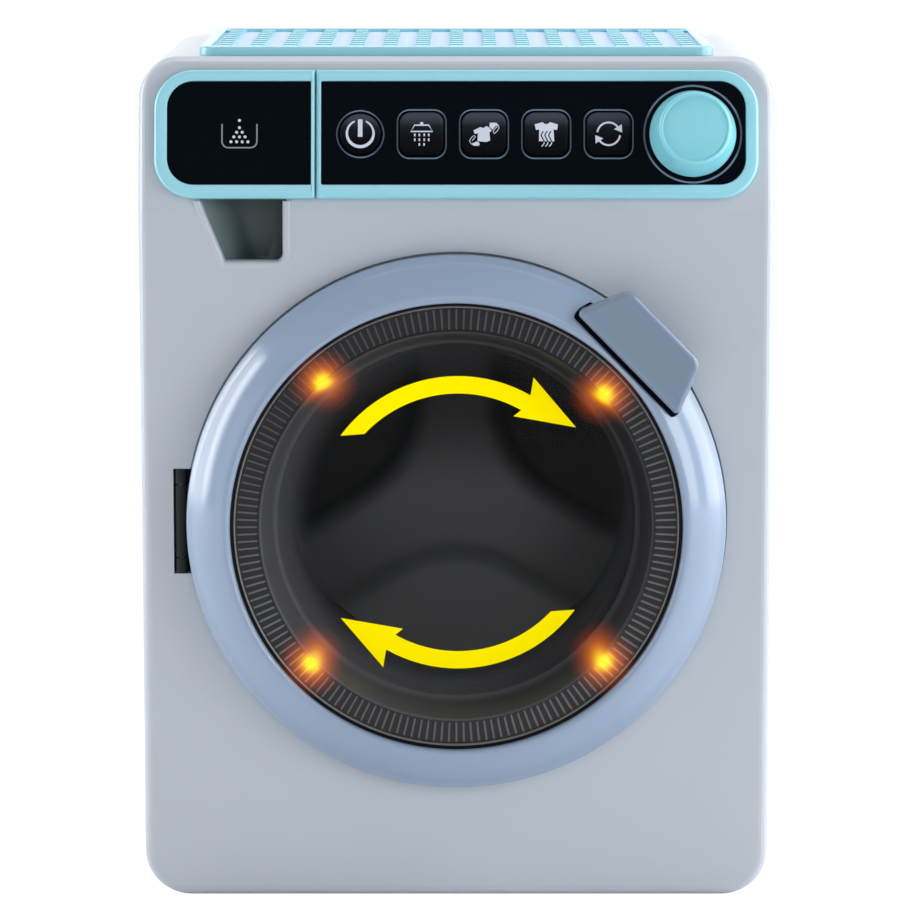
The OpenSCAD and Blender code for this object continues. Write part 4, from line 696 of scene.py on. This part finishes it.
# The lip carries a painted highlight in its light grey.
door_piece("window_lip_highlight", LIP_HIGHLIGHT, [
    (66.72, FLANGE_Y + 0.1), (66.62, FLANGE_Y - 0.32), (66.4, FLANGE_Y - 0.45),
    (66.18, FLANGE_Y - 0.32), (66.08, FLANGE_Y + 0.2), (66.08, FLANGE_Y + 1.4),
    (66.72, FLANGE_Y + 1.4)], (), 60.0)
door_piece("rib_bed", WINDOW, [
    (66.15, RIB_Y + 0.5), (59.2, RIB_Y + 0.5), (59.2, RIB_Y + 1.5), (66.15, RIB_Y + 1.5)])
door_piece("window_flank", FLANK, [
    (59.3, RIB_Y + 0.4), (59.1, RIB_Y - 0.15), (58.75, RIB_Y - 0.25), (58.35, RIB_Y + 0.1),
    (58.1, RIB_Y + 1.0), (55.9, DISH_Y - 1.6), (55.2, DISH_Y - 0.4), (54.6, DISH_Y + 0.1),
    (53.9, DISH_Y + 0.2), (53.9, DISH_Y + 1.6), (56.4, DISH_Y + 1.0), (60.0, RIB_Y + 1.5)], (), 60.0)

# Ribs round the border; their tone follows the light round the dish in the photo
RIB_COUNT, RIB_TURN, RIB_SINK = 180, 0.36, 0.52    # half a rib's width is in degrees
RIB_TOP = 0.6                                      # share of the width that is flat
RIB_LIGHT = ((0, 1.0), (45, 0.6), (90, 0.42), (135, 0.25), (170, 0.5), (205, 1.0), (240, 0.7),
             (270, 0.62), (300, 0.75), (330, 1.0), (360, 1.0))


def rib_tone(x, z):
    angle = math.degrees(math.atan2(z, x)) % 360
    for (a0, t0), (a1, t1) in zip(RIB_LIGHT, RIB_LIGHT[1:]):
        if a0 <= angle <= a1:
            tone = t0 + (t1 - t0) * (angle - a0) / (a1 - a0)
    return tone


ribs = Shape()
across = ((-RIB_TURN, 0.0), (-RIB_TURN * RIB_TOP, 1.0), (RIB_TURN * RIB_TOP, 1.0), (RIB_TURN, 0.0))
for i in range(RIB_COUNT):
    a = 360.0 * i / RIB_COUNT
    ribs.loft([[on_door(r, a + da, RIB_Y + RIB_SINK - h * k) for da, k in across]
               for r, h in ((59.4, 0.05), (59.7, 0.42), (65.4, 0.42), (65.95, 0.05))])
set_tones(ribs.make("window_ribs", RIBS, "door", "smoke", (), 30.0), rib_tone)

DISH_R, DISH_RIM_Y, DISH_SAG = 53.95, DISH_Y + 0.2, 1.2
DISH_ROWS, DISH_THICK = 12, 1.45
rows = []
for k in range(DISH_ROWS):
    a = math.radians(90 * k / DISH_ROWS)
    rows.append((DISH_R * math.cos(a), DISH_RIM_Y + DISH_SAG * math.sin(a)))
centre = [(0.05, DISH_Y + 1.4), (0.05, DISH_Y + 2.9)]
inner_rows = [(r, y + DISH_THICK) for r, y in reversed(rows)]
door_piece("window_dish", DISH, rows + centre + inner_rows, (), 50.0, 120)


# Three-armed star on the drum's back
STAR_R, STAR_FRONT, STAR_BACK, STAR_RIM = 53.1, 58.8, 65.5, 0.25
STAR_STEPS, STAR_TURNS = 44, 168            # rows from the centre outwards, and points round each
ARM_HALF, HOLLOW_R = 11.5, 35.0             # half width of an arm, and radius of a hollow's corner
HOLLOW_X = (ARM_HALF + HOLLOW_R) / math.sin(math.radians(60))
HOLLOWS = (30, 150, 270)                    # directions of the hollows between the arms
FALL_FROM, FALL_RUN = 3.0, 9.0              # where the surface starts to fall, and over what width
EDGE_SHADOW_AT, EDGE_SHADOW_WIDTH = 3.5, 5.0              # painted shadow just inside a hollow's edge


def hollow_depth(x, z, axis):
    """How far a point lies inside the rounded hollow that opens along an axis."""
    a = math.radians(axis)
    u, v = x * math.cos(a) + z * math.sin(a), abs(-x * math.sin(a) + z * math.cos(a))
    du = HOLLOW_X - u
    if du > 0 and v < du * math.tan(math.radians(30)):
        return HOLLOW_R - math.hypot(du, v)
    return u * math.sin(math.radians(60)) - v * math.cos(math.radians(60)) - ARM_HALF


def smooth(t):
    t = min(max(t, 0.0), 1.0)
    return t * t * (3 - 2 * t)


def star_fall(x, z):
    """How far the surface falls from an arm to a hollow, how near its edge it is, and which hollow."""
    deep, axis = max((hollow_depth(x, z, q), q) for q in HOLLOWS)
    return smooth((deep + FALL_FROM) / FALL_RUN), math.exp(-((deep - EDGE_SHADOW_AT) / EDGE_SHADOW_WIDTH) ** 2), axis


def star_tone(x, z):
    """Painted light and shade: arms darker outwards and upwards; the lower hollow lit, the upper ones
    in shade; a painted shadow along each hollow's edge.
    """
    fall, edge_shadow, axis = star_fall(x, z)
    outwards, upwards = smooth((math.hypot(x, z) - 14.0) / 34.0), smooth((z + 3.0) / 30.0)
    arm = (1.06 - 0.34 * outwards) * (1.0 - 0.72 * upwards)
    hollow, edge_shadow_strength = (1.60, 0.24) if axis == 270 else (0.05, 0.16)
    return max((1 - fall) * arm + fall * hollow - edge_shadow_strength * edge_shadow, 0.02)


star = Shape()
rows = []
for i in range(STAR_STEPS + 1):
    r = max(STAR_R * i / STAR_STEPS, 0.05)
    row = []
    for k in range(STAR_TURNS):
        a = 2 * math.pi * k / STAR_TURNS
        x, z = r * math.cos(a), r * math.sin(a)
        fall = star_fall(x, z)[0]
        row.append(at(x, STAR_FRONT + (STAR_BACK - STAR_FRONT) * fall, DOOR_Z + z))
    rows.append(row)
star.loft(list(reversed(rows)), caps=False)
star.loft([rows[-1], [q + deeper(STAR_RIM) for q in rows[-1]]], caps=False)
relief = star.make("drum_relief", DRUM_STAR, "drum", "drum", ["drum_star"], 60.0)
set_tones(relief, star_tone)

# Turning arrows on the dish
ARROW_X, ARROW_Z, ARROW_TALL = 0.5, -0.9, 1.017     # shift and stretch that fit them to the photo
ARROW_LIFT, ARROW_FILM, ARROW_STEPS = 0.12, 0.1, 40     # gap to the dish, thickness
ARROW_HEAD = [(22.7, 43.6), (35.5, 28.7), (16.7, 32.0), (20.5, 35.0), (21.9, 38.8)]


def arrow_point(x, z):
    """A point of the arrows just in front of the dish."""
    x, z = x + ARROW_X, z * ARROW_TALL + ARROW_Z
    sag = DISH_SAG * math.sqrt(max(0.0, 1 - (math.hypot(x, z) / DISH_R) ** 2))
    return at(x, DISH_RIM_Y + sag - ARROW_LIFT, DOOR_Z + z)


def arrow(shape, turn):
    def placed(points):
        a = math.radians(turn)
        return [arrow_point(x * math.cos(a) - z * math.sin(a), x * math.sin(a) + z * math.cos(a))
                for x, z in points]

    outer = placed(arc_points(0, 0, 44.0, 143.5, 58.0, ARROW_STEPS))
    inner = placed(arc_points(0, 0, 38.8, 136.5, 58.0, ARROW_STEPS))
    back = deeper(ARROW_FILM)
    shape.loft([[q + back, q, r, r + back] for q, r in zip(outer, inner)])
    face = placed(ARROW_HEAD)
    shape.loft([face, [q + back for q in face]])


arrows = Shape()
arrow(arrows, 0)
arrow(arrows, 180)
arrows.make("turning_arrows", YELLOW_GLOWING, "door", "smoke")


# Handle
HANDLE_FRONT, HANDLE_BACK = -16.2, -9.6


def handle_outline(d, inner=0.0, n=8):
    """Trapezoid with small inner and large outer corners, pulled in by d.

    inner draws its inner side out towards the door's centre.
    """
    u0, v0, r0, u1, v1, r1 = 72.1, 19.7, 1.4, 82.6, 12.2, 4.4    # centres and radii of the corners
    run = math.hypot(u1 - u0, v0 - v1)
    slope = math.degrees(math.atan2(v0 - v1, u1 - u0) - math.asin((r1 - r0) / run))
    r0, r1 = r0 - d, r1 - d
    if r0 < 0.1:
        u0, v0, r0 = u0 + 0.1 - r0, v0 - (0.1 - r0) * 0.75, 0.1
    spans = [(u0 - inner, -v0, r0, 180, 270), (u0, -v0, r0, 270, 270 + slope),
             (u1, -v1, r1, 270 + slope, 360), (u1, v1, r1, 0, 90 - slope),
             (u0, v0, r0, 90 - slope, 90), (u0 - inner, v0, r0, 90, 180)]
    points = []
    for u, v, r, a0, a1 in spans:
        for k in range(n + 1):
            a = math.radians(a0 + (a1 - a0) * k / n)
            q = (u + r * math.cos(a), v + r * math.sin(a))
            if not points or math.dist(points[-1], q) > 1e-4:
                points.append(q)
    return points


def clip(points, axis, limit, side):
    """The part of a convex outline on one side of a line across u (axis 0) or v (axis 1)."""
    kept = []
    for i, p in enumerate(points):
        q = points[(i + 1) % len(points)]
        a, b = side * (p[axis] - limit), side * (q[axis] - limit)
        if a >= 0:
            kept.append(p)
        if a * b < 0:
            k = a / (a - b)
            kept.append((p[0] + k * (q[0] - p[0]), p[1] + k * (q[1] - p[1])))
    return kept


def handle_loop(outline, y):
    """A (u, v) outline at depth y."""
    return [on_handle(u, v, y) for u, v in outline]


# A rounded plate, feet that leave room for the posts of the pin, lugs round the pin, and the tongue
PLATE_BACK, PLATE_EDGE = 13.3, 1.7
FOOT_TOP, FOOT_IN = -13.4, 71.5             # depth of the feet's tops, and where they end inwards
PIN_U, PIN_Y, LUG_R = 74.9, -10.8, 2.5
POST_IN, POST_OUT, LUG_END = 7.95, 11.05, 15.0
TONGUE, TONGUE_END = [(74.4, -3.5), (76.2, -3.5), (76.2, 3.5), (74.4, 3.5)], 7.0
handle = Shape()
loops = [handle_loop(handle_outline(d), -y) for d, y in edge(PLATE_BACK, -HANDLE_FRONT, PLATE_EDGE, 6)]
loops += [handle_loop(handle_outline(3.2), HANDLE_FRONT + 0.1)]
handle.loft(loops)
under = clip(handle_outline(0.05), 0, FOOT_IN, 1)
middle = clip(clip(under, 1, -POST_IN, 1), 1, POST_IN, -1)
for foot in (clip(under, 1, POST_OUT, 1), middle, clip(under, 1, -POST_OUT, -1)):
    handle.loft([handle_loop(foot, y) for y in (HANDLE_BACK, FOOT_TOP)])
for ends in ((-LUG_END, -POST_OUT), (-POST_IN, POST_IN), (POST_OUT, LUG_END)):
    handle.loft([[on_handle(PIN_U + q, v, PIN_Y + r) for q, r in circle(0, 0, LUG_R, 32)]
                 for v in ends])
handle.loft([handle_loop(TONGUE, y) for y in (PIN_Y, TONGUE_END)])
handle.make("handle_face", HANDLE, "handle", "ring", ["door_handle"], 50.0)

# Painted shade: a black sheet on the floor of the gap along the handle's inner edge, where the deep gap
# lies in shade
gap = Shape()
gap_shade_sheet = [(69.2, -21.3), (72.5, -21.3), (72.5, 21.3), (69.2, 21.3)]
gap.loft([handle_loop(gap_shade_sheet, y) for y in (-12.5, -12.2)])
gap.make("gap_shade_sheet", BLACK, "door", "ring")

# Smooth skin of the ring, open where the handle lies: outer edge, crowned slope, inner edge, rear
OUT_R, IN_R, CROWN, STEPS = 1.68, 1.48, 0.9, 18
RING_STEPS, RING_SHARP = 300, 45.0
SLOT_GAP, SLOT_INNER = 0.5, 1.3             # gap round the handle, and how far its slot opens inwards
skin = Shape()
front = [(81.08, -0.6), (81.08, -3.0)]
for a in map(math.radians, range(0, 49, 6)):
    front.append((79.4 + OUT_R * math.cos(a), -4.4 - OUT_R * math.sin(a)))
for k in range(1, STEPS):
    t = k / STEPS
    lift = 4 * CROWN * t * (1 - t) + 0.08
    front.append((79.8 - 10.2 * t + 0.647 * lift, -5.8 - 8.65 * t - 0.763 * lift))
for a in map(math.radians, range(0, 91, 9)):
    front.append((69.1 - IN_R * math.sin(a), -13.2 - IN_R * math.cos(a)))
front.append((67.62, -11.7))
rear = [(68.1, -11.7), (68.1, -12.9), (69.2, -13.7), (79.3, -5.2), (80.5, -4.0), (80.5, -0.6)]
lathe(skin, front + rear, on_door, RING_STEPS)
ring_skin = skin.make("ring_skin", RING, "door", "ring", (), RING_SHARP)
cutter = Shape()
cutter.loft([handle_loop(handle_outline(-SLOT_GAP, SLOT_INNER), y) for y in (-22.0, -7.8)])
cutter_piece = cutter.mesh_object("ring_cutter")
cut_out = ring_skin.modifiers.new("handle_slot", "BOOLEAN")
cut_out.operation, cut_out.object, cut_out.solver = "DIFFERENCE", cutter_piece, "EXACT"
bpy.context.view_layer.update()
cut_ring = ring_skin.evaluated_get(bpy.context.evaluated_depsgraph_get())
cut_mesh = bpy.data.meshes.new_from_object(cut_ring)
ring_skin.modifiers.remove(cut_out)
old_mesh = ring_skin.data
ring_skin.data = cut_mesh
bpy.data.meshes.remove(old_mesh)
cut_mesh.set_sharp_from_angle(angle=math.radians(RING_SHARP))
cut_mesh.name = "ring_skin"
bpy.data.objects.remove(cutter_piece)

# Finger recess
RECESS_RIGHT, RECESS_TOP, RECESS_LOW = -50.65, 215.8, 193.63
RECESS_LEFT_TOP, RECESS_LEFT_LOW = -77.45, -70.65
LEFT_R, RIGHT_R = 2.0, 3.4                  # radii of the recess's lower corners
LIP_TOP = 212.7


def recess_loop(d, y, shift=0.0, top=RECESS_TOP, n=8):
    """Outline of the finger recess pulled in by d, with its left side moved to the right by shift."""
    left_r, right_r = max(LEFT_R - d, 0.2), max(RIGHT_R - d, 0.2)
    left = RECESS_LEFT_LOW + d + shift + left_r
    right, low = RECESS_RIGHT - d - right_r, RECESS_LOW + d
    points = [(RECESS_LEFT_TOP + d + shift, top)]
    points += arc_points(left, low + left_r, left_r, 180, 270, n)
    points += arc_points(right, low + right_r, right_r, 270, 360, n)
    points.append((RECESS_RIGHT - d, top))
    return [at(x, y, z) for x, z in points]


# (inset, depth, shift of the left side) from the recess's back to its mouth
inside = [(0.45, 12.6, 13.0), (0.45, 12.3, 10.6), (0.45, 11.4, 8.6), (0.45, 9.8, 6.8), (0.45, 7.4, 4.9),
          (0.45, 4.4, 2.8), (0.4, 1.6, 0.2)]
outside = [(0.05, 1.6, 0.0), (0.05, 12.9, 0.0)]
# The sheet that lines the recess carries the painted light and shade of its material.
liner = Shape()
liner.loft([recess_loop(d, y, shift) for d, y, shift in inside + outside])
liner.make("recess_liner", RECESS_SHADE, "base", "shell", (), 40.0)

# (inset, depth) round the section of the lip
section = [(-1.1, 0.08), (-0.9, -0.12), (-0.5, -0.25), (0.0, -0.27), (0.5, -0.08), (0.9, 0.35),
           (1.15, 0.95), (1.3, 1.8), (1.35, 3.2), (0.6, 3.2), (0.1, 0.5)]
lip = Shape()
loops = [recess_loop(d, y, 0.0, LIP_TOP) for d, y in section]
lip.loft([[loop[i] for loop in loops] for i in range(len(loops[0]))])
lip.make("recess_lip", GREY, "base", "shell", (), 50.0)

# Top grille
BODY_D, FRONT_EDGE = 130.0, 3.0
GRILLE_T, GRILLE_X, BORDER = 2.5, 77.2, 3.0
GRILLE_Y0 = (BODY_H - LEAN_Z) * math.tan(LEAN) + FRONT_EDGE + 2.6
GRILLE_Y1 = BODY_D - 11.8
RIM_TOP, RIM_OUT, RIM_IN = GRILLE_T + 0.3, 0.05, 0.06      # the rim covers the CAD's on all sides
BARS, BAR_PITCH, RIDGES, RIDGE_END = 7, 10.05, 9, 0.8      # bars on each side of the middle one


def grille_loop(d, z):
    """Outline of the grille pulled in by d, at height z above the roof."""
    outline = round_rect(-GRILLE_X + d, GRILLE_X - d, GRILLE_Y0 + d, GRILLE_Y1 - d,
                         [max(5.0 - d, 0.4)] * 4, 8)
    return [at(x, y, BODY_H + z) for x, y in outline]


rim = Shape()
loops = [grille_loop(-RIM_OUT, 0.05)]
loops += [grille_loop(d - RIM_OUT, z) for d, z in edge(0.1, RIM_TOP, 0.9)]
loops += [grille_loop(BORDER + RIM_IN - d, z) for d, z in reversed(edge(0.9, RIM_TOP, 0.5, 3))]
loops += [grille_loop(BORDER + RIM_IN, 0.05)]
rim.loft(loops, closed=True)
rim.make("grille_rim", TURQUOISE, "base", "turquoise", (), 50.0)
plate = Shape()
plate.loft([grille_loop(BORDER - 0.4, z) for z in (0.02, 1.7)])
plate.make("grille_bed", BED, "base", "shell")

# Small cross ridges along each bar
ridges = Shape()
RIDGES_Y0 = GRILLE_Y0 + BORDER + RIDGE_END
RIDGES_RUN = GRILLE_Y1 - GRILLE_Y0 - 2 * BORDER - 2 * RIDGE_END
for i in range(-BARS, BARS + 1):
    for k in range(RIDGES + 1):
        x, y = i * BAR_PITCH, RIDGES_Y0 + RIDGES_RUN * k / RIDGES
        ridges.loft([[at(x + dx, y + dy, BODY_H + GRILLE_T + dz)
                      for dx, dz in ((-2.1, -0.3), (-2.05, h), (2.05, h), (2.1, -0.3))]
                     for dy, h in ((-0.7, 0.0), (-0.6, 0.24), (0.6, 0.28), (0.8, 0.0))])
ridges.make("grille_ridges", TICK, "base", "turquoise", (), 30.0)

# Stage, lights and camera

# White floor that keeps a faint shadow: seen by the camera, most of it is plain white light
FLOOR_WHITE, FLOOR_SHADE, FLOOR_HALF = (0.93, 0.93, 0.935), 0.99, 6.0
FLOOR_LIGHT, FLOOR_LIGHT_SHARE = 1.2, 0.78
floor_look = bpy.data.materials.new("floor_white")
floor_look.use_nodes = True
tree = floor_look.node_tree
shader = tree.nodes["Principled BSDF"]
patches = noise(tree, node(tree, "ShaderNodeTexCoord").outputs["Object"], 3.0)
shade = tuple(c * FLOOR_SHADE for c in FLOOR_WHITE)
tree.links.new(ramp(tree, patches, [(0.3, shade), (0.7, FLOOR_WHITE)]), shader.inputs["Base Color"])
shader.inputs["Roughness"].default_value = 0.9
shader.inputs["Specular IOR Level"].default_value = 0.1
bright = node(tree, "ShaderNodeEmission")
bright.inputs["Strength"].default_value = FLOOR_LIGHT
share = node(tree, "ShaderNodeMath", operation="MULTIPLY")
share.inputs[1].default_value = FLOOR_LIGHT_SHARE
blend = node(tree, "ShaderNodeMixShader")
tree.links.new(node(tree, "ShaderNodeLightPath").outputs["Is Camera Ray"], share.inputs[0])
tree.links.new(share.outputs["Value"], blend.inputs[0])
tree.links.new(shader.outputs["BSDF"], blend.inputs[1])
tree.links.new(bright.outputs["Emission"], blend.inputs[2])
tree.links.new(blend.outputs["Shader"], tree.nodes["Material Output"].inputs["Surface"])
floor_mesh = bpy.data.meshes.new("floor")
corners = [(x * FLOOR_HALF, y * FLOOR_HALF, 0) for x, y in ((-1, -1), (1, -1), (1, 1), (-1, 1))]
floor_mesh.from_pydata(corners, [], [(0, 1, 2, 3)])
floor_mesh.materials.append(floor_look)
floor = bpy.data.objects.new("floor", floor_mesh)
bpy.context.collection.objects.link(floor)

TARGET = Vector((0.0, 0.0, 0.13))           # metres, as are the lights' sizes and places


def area(name, energy, size, location, color=(1, 1, 1)):
    """An area light that faces the middle of the object."""
    light = bpy.data.lights.new(name, "AREA")
    light.shape = "RECTANGLE"
    light.size, light.size_y = size
    light.energy = energy
    light.color = color
    o = bpy.data.objects.new(name, light)
    o.location = location
    o.rotation_euler = (TARGET - Vector(location)).to_track_quat("-Z", "Y").to_euler()
    bpy.context.collection.objects.link(o)


area("key_left", 0.8, (0.5, 0.9), (-1.4, -0.9, 0.35))
area("key_right", 9.4, (0.6, 0.9), (1.4, -0.9, 0.40), (0.97, 0.985, 1.0))
area("side_left", 16.0, (0.9, 1.2), (-1.5, 0.20, 0.5))
area("side_right", 20.0, (0.9, 1.2), (1.5, 0.20, 0.5))
area("top", 7.6, (1.4, 0.8), (0.0, 0.5, 1.5))
area("front_fill", 4.3, (1.6, 0.8), (0.0, -1.9, 1.0))
area("back", 8.0, (2.4, 0.9), (0.0, 1.7, 0.72))
area("rim_right", 4.5, (0.25, 0.7), (1.05, -0.16, 0.95))
area("rim_left", 3.5, (0.25, 0.8), (-1.15, -0.16, 0.45))

# Soft surroundings for the light, plain white for the camera
world = bpy.data.worlds.new("studio")
bpy.context.scene.world = world
world.use_nodes = True
tree = world.node_tree
background = tree.nodes["Background"]
background.inputs["Color"].default_value = (0.92, 0.94, 0.97, 1.0)
background.inputs["Strength"].default_value = 0.42
white = node(tree, "ShaderNodeBackground")
white.inputs["Color"].default_value = (1.0, 1.0, 1.0, 1.0)
white.inputs["Strength"].default_value = 1.0
path = node(tree, "ShaderNodeLightPath")
mix = node(tree, "ShaderNodeMixShader")
tree.links.new(path.outputs["Is Camera Ray"], mix.inputs["Fac"])
tree.links.new(background.outputs["Background"], mix.inputs[1])
tree.links.new(white.outputs["Background"], mix.inputs[2])
tree.links.new(mix.outputs["Shader"], tree.nodes["World Output"].inputs["Surface"])

bpy.context.scene.view_settings.view_transform = "Standard"

# Camera fitted to the photo: focal length and picture width in pixels, tilt in degrees
SENSOR, FOCAL_PX, PICTURE_PX, TILT = 36.0, 4317.0, 920.0, 8.8
camera = bpy.data.cameras.new("camera")
camera.sensor_width = SENSOR
camera.lens = SENSOR * FOCAL_PX / PICTURE_PX
camera.clip_end = 50.0
rig = bpy.data.objects.new("camera", camera)
rig.location = (0.0011, FRONT - 1.283, 0.3333)
rig.rotation_euler = (math.radians(90.0 - TILT), 0.0, 0.0)
bpy.context.collection.objects.link(rig)
bpy.context.scene.camera = rig
